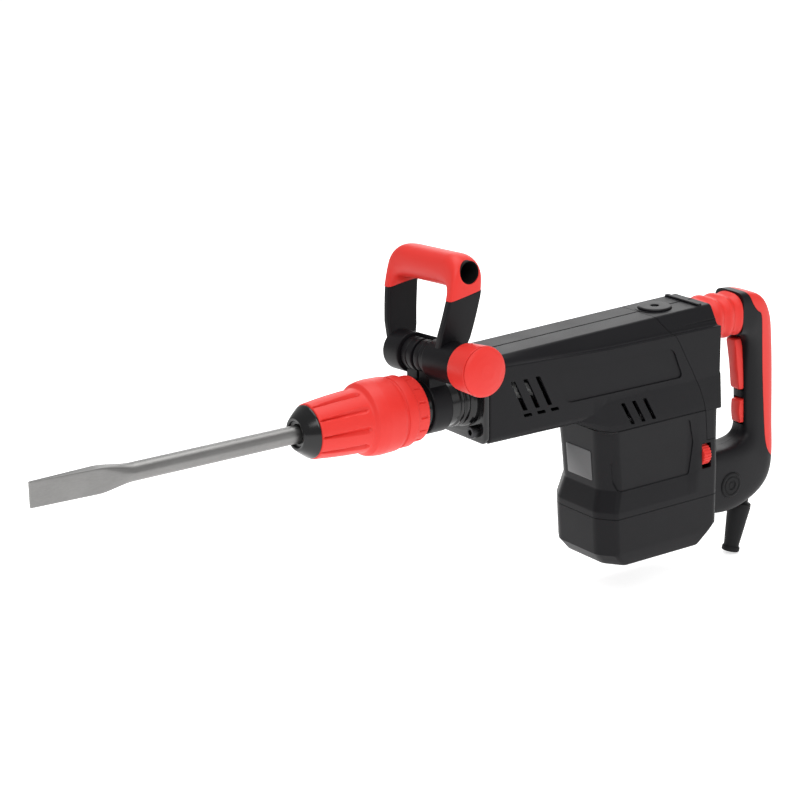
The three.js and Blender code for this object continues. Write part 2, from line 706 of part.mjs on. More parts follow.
function crankShaft() {
  const discTop = -16;
  const disc = turned([[gearZ - 12, 0], [gearZ - 12, crankJournal], [gearTopZ + 1, crankJournal],
    [gearTopZ + 1, crankJournal + 4], [discTop - 10, crankJournal + 4], [discTop - 10, 27],
    [discTop, 27], [discTop, 0]], 'z');
  const pin = moved(rod(discTop - 1, -6 - gap, crankPinRadius, 'z', 12), crankThrow, 0, 0);
  return moved(joined(disc, pin), crankX, 0, 0);
}

// ---- motor --------------------------------------------------------------------------------
function ballBearing(x, z0, z1, inner, outer) {
  return moved(tube(z0, z1, inner, outer, 'z', 20), x, 0, 0);
}

function armatureShaft() {
  const pinionTop = gearTopZ + 1;
  const phase = Math.PI + Math.PI / pinionTeeth;
  const pinion = wheel(gearOutline(pinionTeeth, phase), gearZ - 1, pinionTop);
  return moved(joined(rod(baseZ + 16, gearZ, motorShaftRadius, 'z', 12), pinion), motorX, 0, 0);
}

function armatureCore() {
  const slots = around(12, (a) => box(coreRadius - 5, coreRadius + 1, -1.2, 1.2, -160, -80)
    .rotate([0, 0, degrees(a)]));
  return moved(cut(tube(-148, -92, motorShaftRadius + gap, coreRadius, 'z'), ...slots), motorX, 0, 0);
}

const commutator = () => moved(
  tube(-174, -154, motorShaftRadius + gap, commutatorRadius, 'z', 20), motorX, 0, 0);

function coolingFan() {
  const hub = tube(-78, -66, motorShaftRadius + gap, 12, 'z', 12);
  const plate = tube(-68, -66, 11, fanRadius, 'z', 20);
  const blades = around(7, (a) => box(11, fanRadius - 1, -0.9, 0.9, -78, -67)
    .rotate([0, 0, degrees(a)]));
  return moved(joined(hub, plate, ...blades), motorX, 0, 0);
}

function stator() {
  const ring = tube(-150, -90, coreRadius + 1, statorRadius, 'z', 20);
  const window = (side) => box(-12, 12, side * 34 - 5, side * 34 + 5, -155, -85);
  return moved(cut(ring, window(1), window(-1)), motorX, 0, 0);
}

const brushHolder = (side) => {
  const y0 = commutatorRadius + 3;
  const frame = cut(box(-6, 6, y0, y0 + 22, -171, -157), box(-4, 4, y0 - 1, y0 + 20, -169, -159));
  const holder = side > 0 ? frame : frame.rotate([0, 0, 180]);
  return moved(holder, motorX, 0, 0);
};

const carbonBrush = (side) => {
  const y0 = commutatorRadius + 0.4;
  const block = box(-3.7, 3.7, y0, y0 + 15, -168.7, -159.3);
  return moved(side > 0 ? block : block.rotate([0, 0, 180]), motorX, 0, 0);
};

function bearingPlate() {
  const z0 = gearZ - 14;
  const z1 = gearZ - 4;
  const points = [[crankX - 22, -18], [crankX - 8, -34], [motorX + 18, -34], [motorX + 34, -18],
    [motorX + 34, 18], [motorX + 18, 34], [crankX - 8, 34], [crankX - 22, 18]];
  const plate = alongZ(points, z0, z1);
  const seat = (x, r) => moved(rod(z0 - 1, z1 + 1, r + gap, 'z'), x, 0, 0);
  return cut(plate, seat(crankX, 17), seat(motorX, 13));
}

// ---- side handle --------------------------------------------------------------------------
function clampBand() {
  const inner = neckRadius + clampPlay;
  const half = clampWidth / 2;
  const band = tube(-half, half, inner, inner + 3, 'x', 20);
  const lug = moved(rod(-lugSplit / 2 - lugLength, lugSplit / 2 + lugLength, lugRadius, 'y', 20),
    0, 0, hubHeight);
  const stem = alongX([[-19, neckRadius - 8], [19, neckRadius - 8], [19, 30], [16, hubHeight],
    [-16, hubHeight], [-19, 30]], -10, 10).subtract(rod(-20, 20, inner, 'x', 20));
  const split = box(-30, 30, -lugSplit / 2, lugSplit / 2, neckRadius - 2, 90);
  const bore = moved(rod(-40, 40, boltRadius + gap, 'y', 12), 0, 0, hubHeight);
  return cut(joined(band, lug, stem), split, bore);
}

const cupDepth = 12;
const knobBack = knobFace - knobLength;

function clampBolt() {
  const far = loopFoot + loopOffset - cupDepth + gap;
  const head = solid(new THREE.CylinderGeometry(8, 8, 5, 6).translate(0, far + 2.5, 0));
  return joined(head, rod(-knobBack - 12, far + 1, boltRadius, 'y', 12));
}

function loopArms() {
  const half = armDepth / 2;
  const top = gripHeight - 22;
  const arm = (side) => {
    const foot = loopOffset * side + loopFoot;
    const head = loopOffset * side + loopHalf - 1;
    const face = [[foot - armThickness, 0], [head - armThickness, top], [head, top], [foot, 0]];
    const slab = alongX(face.map(([y, z]) => [side * y, z]), -half, half);
    const side2 = alongY([[-14, -2], [14, -2], [half, 26], [half, top - 0.2], [-half, top - 12],
      [-half, 26]], -90, 90);
    return slab.intersect(side2);
  };
  const farFoot = loopFoot + loopOffset;
  const nearFoot = loopFoot - loopOffset;
  const farHub = rod(lugSplit / 2 + lugLength + 1, farFoot, hubRadius, 'y', 20);
  const nearHub = rod(-nearFoot - hubReach, -lugSplit / 2 - lugLength - 1, hubRadius, 'y', 20);
  const hood = cut(rod(-lugLength - 5, lugLength + 5, hubRadius, 'y', 20),
    rod(-60, 60, lugRadius + 0.8, 'y', 20),
    box(-40, 2, -60, 60, -40, 40), box(-40, 40, -60, 60, -40, -4));
  const seat = rod(-nearFoot - hubReach - 1, -nearFoot + 6, hubRadius - 5, 'y', 20);
  const cup = rod(farFoot - cupDepth, farFoot + 1, 11, 'y', 20);
  const bore = rod(-90, 90, boltRadius + gap, 'y', 12);
  return cut(joined(arm(1), arm(-1), farHub, nearHub, hood), seat, cup, bore);
}

// a rounded cross grip whose ends turn down over the arms
function loopGrip() {
  const half = armDepth / 2;
  const foot = gripHeight - 22 + gap;
  const y0 = loopOffset - loopHalf;
  const y1 = loopOffset + loopHalf;
  const round = 20;
  const shape = new THREE.Shape();
  shape.moveTo(y0, foot - 16);
  shape.lineTo(y0, gripHeight + gripRadius - round);
  shape.quadraticCurveTo(y0, gripHeight + gripRadius, y0 + round, gripHeight + gripRadius);
  shape.lineTo(y1 - round, gripHeight + gripRadius);
  shape.quadraticCurveTo(y1, gripHeight + gripRadius, y1, gripHeight + gripRadius - round);
  shape.lineTo(y1, foot - 16);
  shape.lineTo(y1 - armThickness - 4, foot - 16);
  shape.quadraticCurveTo(y1 - armThickness - 4, gripHeight - gripRadius, y1 - 30, gripHeight - gripRadius);
  shape.lineTo(y0 + 30, gripHeight - gripRadius);
  shape.quadraticCurveTo(y0 + armThickness + 4, gripHeight - gripRadius, y0 + armThickness + 4, foot - 16);
  const front = solid(extruded(shape, 2 * half).rotateX(Math.PI / 2).rotateZ(Math.PI / 2)
    .translate(-half, 0, 0));
  const side = new THREE.Shape();
  side.moveTo(-half, foot - 12);
  side.lineTo(half, foot);
  side.lineTo(half, gripHeight);
  side.absarc(0, gripHeight, half, 0, Math.PI, false);
  const body = front.intersect(alongY(side, -90, 90));
  const bore = rod(y0 - 1, y1 - 22, gripBore, 'y', 20).translate([0, 0, gripHeight]);
  return cut(body, bore);
}

function clampKnob() {
  const rim = knobRadius;
  const profile = [[knobFace - knobLength, boltRadius + gap], [knobBack, rim - 2], [knobBack + 2, rim],
    [knobFace, rim - 0.5], [knobFace + knobDome * 0.7, rim * 0.62], [knobFace + knobDome, 0],
    [knobBack + 14, 0], [knobBack + 14, boltRadius + gap], [knobBack, boltRadius + gap]];
  const shank = tube(loopFoot - loopOffset - 5.5, knobBack + 1, boltRadius + gap, hubRadius - 6, 'y', 20);
  const knob = turned(profile, 'y', 20);
  return joined(shank, knob).rotate([0, 0, 180]);
}

// ---- rear handle --------------------------------------------------------------------------
const handleOuter = rearward([[843, 51.5], [862, 50], [879, 42], [891, 24], [897, 0], [903, -45],
  [905, -107], [905, -143], [900, -166], [884, -182], [856, -192], [832, -197], [806, -194],
  [795, -184], [793.3, -170], [793.3, -122]]);
const handleInner = rearward([[838, -122], [856, -118.5], [862, -110], [861, -70], [858, -30],
  [856, -6], [851, 1], [843, 3]]);

function handleSolid(inset = 0) {
  const shrink = ([x, z], i, all) => {
    const [px, pz] = all[(i + all.length - 1) % all.length];
    const [nx, nz] = all[(i + 1) % all.length];
    const length = Math.hypot(nx - px, nz - pz);
    return [x + inset * (nz - pz) / length, z - inset * (nx - px) / length];
  };
  const profile = alongY([...handleOuter, ...handleInner].map(shrink), -40, 40);
  const g = gripHalf - inset;
  const h = handleHalf - inset;
  const c = 6;
  const front = [[-h + c, 60], [-h, 60 - c], [-h, 18], [-g, -10], [-g, -96], [-h, -128], [-h, -186],
    [-h + c, -200], [h - c, -200], [h, -186], [h, -128], [g, -96], [g, -10], [h, 18], [h, 60 - c],
    [h - c, 60]];
  const chamfer = alongZ(rearward([[780, -h], [888 - inset, -h], [898 - inset, -9],
    [907 - inset, -5], [907 - inset, 5], [898 - inset, 9], [888 - inset, h], [780, h]]), -230, 90);
  return profile.intersect(alongX(front, casingEnd - 90, casingEnd + 160)).intersect(chamfer);
}

const skinRegion = (grow) => alongY(rearward([[852 - grow, 70], [857 - grow, 40 - grow],
  [865 - grow, 27 - grow], [872 - grow, 26 - grow], [875 - grow, 5], [881 - grow, -37],
  [886 - grow, -100], [888 - grow, -128], [894 - grow, -140 - grow], [908, -151 - grow],
  [930, -151 - grow], [930, 70]]), -60, 60);

// a box drawn, as the handle's outlines are, at the rear face's drawn place
const rearBox = (x0, x1, half, z0, z1) => box(x0 + rearShift, x1 + rearShift, -half, half, z0, z1);
const switchCavity = () => rearBox(866, 893, 9.5, -108, 0);

function handleBody() {
  const full = handleSolid();
  const core = handleSolid(skin);
  const shell = joined(full.subtract(skinRegion(gap)), core.intersect(full));
  const slot = rearBox(840, 870, triggerHalf + 0.6, -64.5, -1.5);
  const buttonSlot = rearBox(840, 870, triggerHalf + 0.6, -103.5, -72);
  const fork = rearBox(780, 846, 8, -230, -132);
  const pin = moved(rod(-60, 60, pivotRadius + gap, 'y', 12), handlePivotX, 0, handlePivotZ);
  const capSeat = (side) => moved(rod(handleHalf - 3, handleHalf + 3, pivotCapRadius + gap, 'y', 20)
    .rotate([0, 0, side > 0 ? 0 : 180]), handlePivotX, 0, handlePivotZ);
  const duct = alongBoot(rodPath(bootTop(), 60), 9.5);
  return cut(shell, slot, buttonSlot, switchCavity(), fork, pin, capSeat(1), capSeat(-1), duct);
}

const bootTop = () => new THREE.Vector3(casingEnd + 83, 0, -172);
const bootAxis = new THREE.Vector3(-0.22, 0, -0.98).normalize();
const rodPath = (from, length) => [from, from.clone().addScaledVector(bootAxis, length)];

// a (distance, radius) profile turned about the boot's slanted axis
function alongBoot([from, to], radius) {
  const profile = [[0, 0], [0, radius], [from.distanceTo(to), radius], [from.distanceTo(to), 0]];
  return slanted(profile);
}

function slanted(profile) {
  const start = bootTop();
  const tilt = degrees(Math.atan2(bootAxis.x, -bootAxis.z));
  return turned(profile.map(([s, r]) => [-s, r]), 'z', 20).rotate([0, -tilt, 0])
    .translate([start.x, start.y, start.z]);
}

function cordBoot() {
  const neck = 25;
  const end = neck + bootLength;
  return slanted([[4, bootBore], [4, 9], [neck, 9], [neck + 1, 13.5], [neck + 6, 14], [end - 7, 8.5],
    [end - 5, 10], [end - 1, 10], [end, 9], [end, bootBore], [4, bootBore]]);
}

const handleShell = (side) => {
  const half = box(casingEnd - 90, casingEnd + 160, gap / 2, 50, -260, 90);
  return handleBody().intersect(side > 0 ? half : half.mirror([0, 1, 0]));
};

const overmould = () => cut(handleSolid().intersect(skinRegion(0)), handleSolid(skin - gap));

function pivotPin() {
  return moved(rod(-handleHalf + 4, handleHalf - 4, pivotRadius, 'y', 12), handlePivotX, 0, handlePivotZ);
}

function pivotCap(side) {
  const cap = turned([[handleHalf - 2.7, 0], [handleHalf - 2.7, pivotCapRadius],
    [handleHalf + 0.5, pivotCapRadius], [handleHalf + 1.5, pivotCapRadius - 1.5],
    [handleHalf + 1.5, 0]], 'y', 20);
  return moved(side > 0 ? cap : cap.rotate([0, 0, 180]), handlePivotX, 0, handlePivotZ);
}

function trigger() {
  return alongY(rearward([[846, -3], [851, -35], [855, -62], [862, -63], [865.5, -50], [865.5, -10],
    [860, -3]]), -triggerHalf, triggerHalf);
}

const lockButton = () => alongY(rearward([[856.5, -75], [858, -101], [865.5, -101.5], [865.5, -74]]),
  -triggerHalf, triggerHalf);

const switchModule = () => rearBox(871, 892, 9, -104, -6);

function speedDial() {
  const teeth = 20;
  const rim = around(teeth * 2, (a, i) => {
    const r = dialRadius - (i % 2) * 0.9;
    return [r * Math.cos(a), r * Math.sin(a)];
  });
  const body = joined(alongX(rim, -dialWidth / 2, dialWidth / 2), rod(-8, 8, 3, 'x', 14));
  return moved(body, dialX, -40.5, dialZ);
}

function greaseCap() {
  const slot = box(-5, 5, -1.2, 1.2, roofRearZ, roofRearZ + 4);
  const body = turned([[roofRearZ - 4.7, 0], [roofRearZ - 4.7, capPlace.radius],
    [roofRearZ + 0.4, capPlace.radius], [roofRearZ + 1.4, capPlace.radius - 1.5],
    [roofRearZ + 1.4, 0]], 'z');
  return moved(body.subtract(slot), capPlace.x, 0, 0);
}

function dampingSpring() {
  return moved(coil(0, 28, 9, 1.6, 4), casingEnd + 14, 0, bellowsZ);
}

// ---- assembly -----------------------------------------------------------------------------
piece('chisel', chisel(), steel());
piece('tool_holder', toolHolder(), steel());
piece('locking_roller_left', lockingRoller(-1), darkSteel());
piece('locking_roller_right', lockingRoller(1), darkSteel());
piece('dust_cap', dustCap(), glossBlack());
piece('locking_sleeve', lockingSleeve(), redRubber());
piece('sleeve_spring', coil(sleeveX + 54 + gap, sleeveX + 78 - gap, 20.5, springWire, springTurns), steel());
piece('index_ring', indexRing(), redRubber());
piece('barrel_neck', barrelNeck(), glossBlack());
piece('holder_bush', tube(neckX - 20, neckX + 18, journalRadius + run, neckBore - gap), aluminium());
screwPlaces.forEach((place, i) => piece(`flange_screw_${i + 1}`, flangeScrew(place), darkSteel()));

const shells = shellParts();
piece('casing_left', shells.left, blackPlastic());
piece('casing_right', shells.right, blackPlastic());
piece('rear_cover', rearCover(shells.rear), blackPlastic());
piece('motor_housing', motorHousing(shells.motor), blackPlastic());
piece('motor_cap', shells.cap, blackPlastic());
piece('grease_cap', greaseCap(), blackPlastic());

piece('cylinder', cylinder(), steel());
piece('striker', striker(), steel());
piece('ram', ram(), darkSteel());
piece('ram_seal', sealRing(ramX + 26), rubber());
piece('piston', piston(), aluminium());
piece('wrist_pin', wristPin(), steel());
piece('connecting_rod', connectingRod(), aluminium());
piece('crank_shaft', crankShaft(), steel());
piece('crank_gear', crankGear(), darkSteel());
piece('crank_bearing', ballBearing(crankX, gearZ - 12, gearZ - 5, crankJournal + gap, 17), steel());

piece('bearing_plate', bearingPlate(), aluminium());
piece('armature_shaft', armatureShaft(), steel());
piece('armature_core', armatureCore(), copper());
piece('commutator', commutator(), copper());
piece('cooling_fan', coolingFan(), blackPlastic());
piece('stator', stator(), darkSteel());
const armatureBearing = (z) => ballBearing(motorX, z, z + 8, motorShaftRadius + gap, 13);
piece('armature_bearing_top', armatureBearing(gearZ - 13), steel());
piece('armature_bearing_bottom', armatureBearing(baseZ + 18), steel());
for (const [side, name] of [[-1, 'left'], [1, 'right']]) {
  piece(`brush_holder_${name}`, brushHolder(side), aluminium());
  piece(`carbon_brush_${name}`, carbonBrush(side), darkSteel());
}

piece('clamp_band', clampBand(), glossBlack(), clampGroup);
piece('clamp_bolt', clampBolt(), darkSteel(), lugGroup);
piece('loop_frame', loopArms(), blackPlastic(), loopGroup);
piece('loop_grip', loopGrip(), redRubber(), loopGroup);
piece('clamp_knob', clampKnob(), redRubber(), lugGroup);

piece('handle_shell_left', handleShell(-1), blackPlastic());
piece('handle_shell_right', handleShell(1), blackPlastic());
piece('handle_overmould', overmould(), redRubber());
piece('handle_pivot_pin', pivotPin(), steel());
piece('pivot_cap_left', pivotCap(-1), rubber());
piece('pivot_cap_right', pivotCap(1), rubber());
piece('trigger', trigger(), redRubber());
piece('lock_button', lockButton(), redRubber());
piece('switch_module', switchModule(), rubber());
piece('cord_boot', cordBoot(), rubber());
piece('bellows', bellows(), redRubber());
piece('damping_spring', dampingSpring(), steel());
piece('speed_dial', speedDial(), redRubber());

export default hammer;
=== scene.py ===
import bpy
import bmesh
import json
import math
import numpy as np
from mathutils import Matrix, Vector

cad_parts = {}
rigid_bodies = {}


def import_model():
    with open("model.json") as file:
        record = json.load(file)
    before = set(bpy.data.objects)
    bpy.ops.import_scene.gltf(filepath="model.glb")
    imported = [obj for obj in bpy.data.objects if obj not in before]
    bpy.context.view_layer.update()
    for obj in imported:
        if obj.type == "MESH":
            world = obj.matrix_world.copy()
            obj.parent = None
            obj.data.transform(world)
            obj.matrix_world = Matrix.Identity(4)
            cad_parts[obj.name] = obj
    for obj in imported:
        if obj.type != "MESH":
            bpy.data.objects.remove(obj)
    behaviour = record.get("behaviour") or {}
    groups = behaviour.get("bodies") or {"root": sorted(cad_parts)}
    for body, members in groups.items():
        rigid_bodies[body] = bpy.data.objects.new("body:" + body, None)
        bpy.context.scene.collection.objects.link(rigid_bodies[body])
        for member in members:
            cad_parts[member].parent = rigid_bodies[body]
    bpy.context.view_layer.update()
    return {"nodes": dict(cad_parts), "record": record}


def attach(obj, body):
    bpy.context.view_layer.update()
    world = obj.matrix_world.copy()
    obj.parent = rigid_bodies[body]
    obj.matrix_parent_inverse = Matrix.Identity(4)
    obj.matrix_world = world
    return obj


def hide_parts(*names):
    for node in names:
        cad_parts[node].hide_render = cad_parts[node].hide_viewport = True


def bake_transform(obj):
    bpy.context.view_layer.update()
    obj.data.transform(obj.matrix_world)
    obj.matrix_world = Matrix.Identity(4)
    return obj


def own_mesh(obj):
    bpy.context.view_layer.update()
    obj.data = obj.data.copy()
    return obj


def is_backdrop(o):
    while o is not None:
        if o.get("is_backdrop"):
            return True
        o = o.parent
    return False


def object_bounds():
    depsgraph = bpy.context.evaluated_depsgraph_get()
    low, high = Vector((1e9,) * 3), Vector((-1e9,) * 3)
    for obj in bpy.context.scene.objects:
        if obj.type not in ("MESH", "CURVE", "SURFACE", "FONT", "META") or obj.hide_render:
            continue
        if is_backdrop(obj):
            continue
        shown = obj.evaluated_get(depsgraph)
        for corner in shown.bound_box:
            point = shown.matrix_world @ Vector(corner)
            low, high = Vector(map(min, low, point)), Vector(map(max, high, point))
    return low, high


for startPiece in [o for o in bpy.data.objects if o.name in ("Cube", "Light", "Camera")]:
    bpy.data.objects.remove(startPiece)
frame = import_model()

# Shapes are worked out in millimetres: stations run rearward from the chisel's edge, heights from the tool axis.
layout = dict(originStation=706.15, axisHeight=210.0, clampStation=439.0, clampSwivel=3.4, loopTilt=12.0,
              hubHeight=50.0)


def inFrame(points):  # stations and heights in millimetres become metres in the shared frame
    return (np.asarray(points, float) - (layout["originStation"], 0, -layout["axisHeight"])) * 0.001


def onClamp(points):  # clamp coordinates turn about the tool axis by the swivel and move to the clamp's station
    a = math.radians(layout["clampSwivel"])
    x, y, z = np.moveaxis(np.asarray(points, float), -1, 0)
    return np.stack([x + layout["clampStation"], y * math.cos(a) + z * math.sin(a),
                     z * math.cos(a) - y * math.sin(a)], -1)


def onLug(points):  # lug coordinates stand one hub height above the clamp's middle
    return onClamp(np.asarray(points, float) + (0, 0, layout["hubHeight"]))


def onLoop(points):  # loop coordinates lean back about the hub by the tilt
    a = math.radians(layout["loopTilt"])
    x, y, z = np.moveaxis(np.asarray(points, float), -1, 0)
    return onLug(np.stack([x * math.cos(a) + z * math.sin(a), y, z * math.cos(a) - x * math.sin(a)], -1))


# camera, lights and floor
cameraSet = dict(place=(-1.58445, -1.8247, 0.9184), azimuth=-35.13, elevation=17.36, roll=-0.82, lens=106.83)


def addCamera(c):  # the axes are right, up and back, turned about the view line by the roll
    a, e, r = (math.radians(c[k]) for k in ("azimuth", "elevation", "roll"))
    right = np.array([math.cos(a), math.sin(a), 0])
    back = np.array([math.sin(a) * math.cos(e), -math.cos(a) * math.cos(e), math.sin(e)])
    up = np.cross(back, right)
    axes = np.stack([math.cos(r) * right + math.sin(r) * up, math.cos(r) * up - math.sin(r) * right, back], 1)
    data = bpy.data.cameras.new("studioCamera")
    data.sensor_width = 36
    data.lens = c["lens"]
    camera = bpy.data.objects.new("studioCamera", data)
    matrix = np.eye(4)
    matrix[:3, :3] = axes
    matrix[:3, 3] = c["place"]
    camera.matrix_world = Matrix(matrix.tolist())
    data.clip_start = 0.05
    data.clip_end = 60
    bpy.context.collection.objects.link(camera)
    bpy.context.scene.camera = camera
    return camera


camera = addCamera(cameraSet)

lightSet = [dict(name="keyLight", place=(-1.6, -2.2, 2.6), size=2.2, power=52),
            dict(name="fillLight", place=(1.9, -2.4, 1.2), size=2.0, power=8),
            dict(name="topLight", place=(0.1, 0.3, 2.9), size=2.6, power=55),
            dict(name="rimLight", place=(1.8, 2.3, 1.2), size=2.4, power=26)]


def addLight(name, place, size, power):
    data = bpy.data.lights.new(name, "AREA")
    data.shape = "DISK"
    data.size = size
    data.energy = power
    lamp = bpy.data.objects.new(name, data)
    toward = np.array([-0.05, 0, 0.15]) - np.array(place)
    back = -toward / np.linalg.norm(toward)
    side = np.cross([0, 0, 1.0], back)
    side /= np.linalg.norm(side)
    matrix = np.eye(4)
    matrix[:3, :3] = np.stack([side, np.cross(back, side), back], 1)
    matrix[:3, 3] = place
    lamp.matrix_world = Matrix(matrix.tolist())
    bpy.context.collection.objects.link(lamp)


for lamp in lightSet:
    addLight(**lamp)

world = bpy.data.worlds.new("studioSky")
world.use_nodes = True
world.node_tree.nodes["Background"].inputs[0].default_value = (1, 1, 1, 1)
world.node_tree.nodes["Background"].inputs[1].default_value = 0.44
bpy.context.scene.world = world
bpy.context.scene.view_settings.view_transform = "Standard"
print("camera and lights")


# Shader maths: an expression on Value objects adds the Math nodes it needs.
class Value:
    def __init__(self, finish, socket):
        self.finish = finish
        self.socket = socket

    def combine(self, operation, *values):
        return self.finish.node("ShaderNodeMath", dict(operation=operation), dict(enumerate(values)))

    def __add__(self, other):
        return self.combine("ADD", self, other)

    def __radd__(self, other):
        return self.combine("ADD", other, self)

    def __sub__(self, other):
        return self.combine("SUBTRACT", self, other)

    def __rsub__(self, other):
        return self.combine("SUBTRACT", other, self)

    def __mul__(self, other):
        return self.combine("MULTIPLY", self, other)

    def __rmul__(self, other):
        return self.combine("MULTIPLY", other, self)

    def __pow__(self, other):
        return self.combine("POWER", self, other)


class Finish:
    def __init__(self, name, **fixed):
        self.material = bpy.data.materials.new(name)
        self.material.use_nodes = True
        self.tree = self.material.node_tree
        self.shader = self.tree.nodes["Principled BSDF"]
        for socket, value in fixed.items():
            self.shader.inputs[socket.replace("_", " ")].default_value = value
        self.material.diffuse_color = (*fixed.get("Base_Color", (0.5, 0.5, 0.5))[:3], 1)
        self.place = self.node("ShaderNodeTexCoord", {}, {}, "Object")

    def feed(self, socket, value):
        if isinstance(value, Value):
            self.tree.links.new(value.socket, socket)
        else:
            socket.default_value = value

    def node(self, kind, settings, inputs, output=0):
        made = self.tree.nodes.new(kind)
        for key, value in settings.items():
            setattr(made, key, value)
        for key, value in inputs.items():
            self.feed(made.inputs[key], value)
        return Value(self, made.outputs[output])

    def noise(self, scale, detail=3.0, roughness=0.6, stretch=(1, 1, 1)):
        moved = self.node("ShaderNodeMapping", {}, {"Vector": self.place, "Scale": stretch})
        return self.node("ShaderNodeTexNoise", {}, {"Vector": moved, "Scale": scale, "Detail": detail,
                                                    "Roughness": roughness})

    def shades(self, factor, dark, light):
        made = self.tree.nodes.new("ShaderNodeMix")
        made.data_type = "RGBA"
        self.feed(made.inputs["Factor"], factor)
        self.feed(made.inputs[6], (*dark, 1))
        self.feed(made.inputs[7], (*light, 1))
        self.feed(self.shader.inputs["Base Color"], Value(self, made.outputs[2]))

    def bump(self, height, strength, distance):
        self.feed(self.shader.inputs["Normal"], self.node(
            "ShaderNodeBump", {}, {"Height": height, "Strength": strength, "Distance": distance}, "Normal"))

    def rough(self, value):
        self.feed(self.shader.inputs["Roughness"], value)


def mouldedFinish(name, dark, light, roughness, spread, grain, grainDepth, **fixed):
    finish = Finish(name, **fixed)
    cloud = finish.noise(9, 4)
    fine = finish.noise(grain, 3, 0.7)
    finish.shades(cloud * 0.7 + fine * 0.3, dark, light)
    finish.rough(roughness - spread * 0.5 + spread * finish.noise(26, 5))
    finish.bump(fine + 0.35 * finish.noise(grain * 0.3, 2), 0.5, grainDepth)
    return finish.material


def machinedFinish(name, dark, light, roughness, spread, stretch, grain, depth, **fixed):
    finish = Finish(name, Metallic=1.0, **fixed)
    streak = finish.noise(grain, 5, 0.65, stretch)
    finish.shades(0.6 * streak + 0.4 * finish.noise(34, 4), dark, light)
    finish.rough(roughness - spread * 0.5 + spread * finish.noise(60, 4))
    finish.bump(streak, 0.35, depth)
    return finish.material


blackCasing = mouldedFinish("blackCasing", (0.0042, 0.0041, 0.005), (0.0072, 0.007, 0.0085), 0.44, 0.12, 1500,
                            0.00008, Specular_IOR_Level=0.16)
redGrip = mouldedFinish("redGrip", (0.62, 0.026, 0.02), (0.7, 0.036, 0.028), 0.44, 0.1, 1100, 0.00005,
                        Specular_IOR_Level=0.28)
blackRubber = mouldedFinish("blackRubber", (0.004, 0.004, 0.0045), (0.008, 0.008, 0.009), 0.6, 0.14, 900, 0.0001,
                            Specular_IOR_Level=0.18)
glossBlack = mouldedFinish("glossBlack", (0.0035, 0.0035, 0.004), (0.006, 0.006, 0.0065), 0.18, 0.08, 300, 0.00002,
                           Specular_IOR_Level=0.3, Coat_Weight=0.2, Coat_Roughness=0.14)
# painted shade: a near-black rough finish that stands in for the shadow inside a bore
boreShadeFinish = mouldedFinish("boreShadeFinish", (0.002, 0.002, 0.002), (0.004, 0.004, 0.004), 0.7, 0.1, 700, 0.00005,
                           Specular_IOR_Level=0.2)
chiselSteel = machinedFinish("chiselSteel", (0.17, 0.168, 0.165), (0.27, 0.268, 0.262), 0.4, 0.14, (0.25, 1, 1), 700,
                             0.00004)
plainSteel = machinedFinish("plainSteel", (0.3, 0.3, 0.3), (0.45, 0.45, 0.45), 0.3, 0.12, (1, 1, 0.2), 400, 0.00003)
blackOxide = machinedFinish("blackOxide", (0.03, 0.03, 0.032), (0.06, 0.06, 0.063), 0.36, 0.14, (1, 1, 1), 500,
                            0.00003)
castAluminium = machinedFinish("castAluminium", (0.42, 0.42, 0.43), (0.58, 0.58, 0.6), 0.45, 0.16, (1, 1, 1), 380,
                               0.00008)
copperWinding = machinedFinish("copperWinding", (0.42, 0.17, 0.08), (0.62, 0.28, 0.14), 0.38, 0.14, (0.1, 1, 1), 900,
                               0.0001)
greyPlate = mouldedFinish("greyPlate", (0.05, 0.05, 0.052), (0.08, 0.08, 0.083), 0.32, 0.1, 600, 0.00002)
slotFinish = {"casing": blackCasing, "red_grip": redGrip, "gloss_black": glossBlack, "steel": plainSteel,
              "dark_steel": blackOxide, "aluminium": castAluminium, "copper": copperWinding,
              "black_rubber": blackRubber}
print("finishes")


# surfaces
def rounded(points, cut, steps=5, closed=True):
    # each corner becomes a quadratic curve that starts and ends a cut length away along its two edges
    p = np.asarray(points, float)
    before, after = np.roll(p, 1, 0), np.roll(p, -1, 0)
    lengthBefore = np.linalg.norm(before - p, axis=1, keepdims=True)
    lengthAfter = np.linalg.norm(after - p, axis=1, keepdims=True)
    c = np.broadcast_to(np.asarray(cut, float), len(p))[:, None].copy()
    if not closed:
        c[[0, -1]] = 0
    a = p + (before - p) * np.minimum(c / np.maximum(lengthBefore, 1e-9), 0.48)
    b = p + (after - p) * np.minimum(c / np.maximum(lengthAfter, 1e-9), 0.48)
    u = np.linspace(0, 1, steps + 1)[None, :, None]
    return ((1 - u) ** 2 * a[:, None] + 2 * u * (1 - u) * p[:, None] + u ** 2 * b[:, None]).reshape(-1, p.shape[1])


def softened(rows, rounds=3):  # corner cutting: every edge keeps its points at one quarter and three quarters
    p = np.asarray(rows, float)
    for _ in range(rounds):
        q = 0.75 * p[:-1] + 0.25 * p[1:]
        r = 0.25 * p[:-1] + 0.75 * p[1:]
        p = np.concatenate([p[:1], np.stack([q, r], 1).reshape(-1, p.shape[1]), p[-1:]])
    return p


def resampled(rows, count):  # points evenly spaced along a path
    p = np.asarray(rows, float)
    s = np.concatenate([[0], np.cumsum(np.linalg.norm(np.diff(p, axis=0), axis=1))])
    t = np.linspace(0, s[-1], count)
    return np.stack([np.interp(t, s, p[:, k]) for k in range(p.shape[1])], 1)


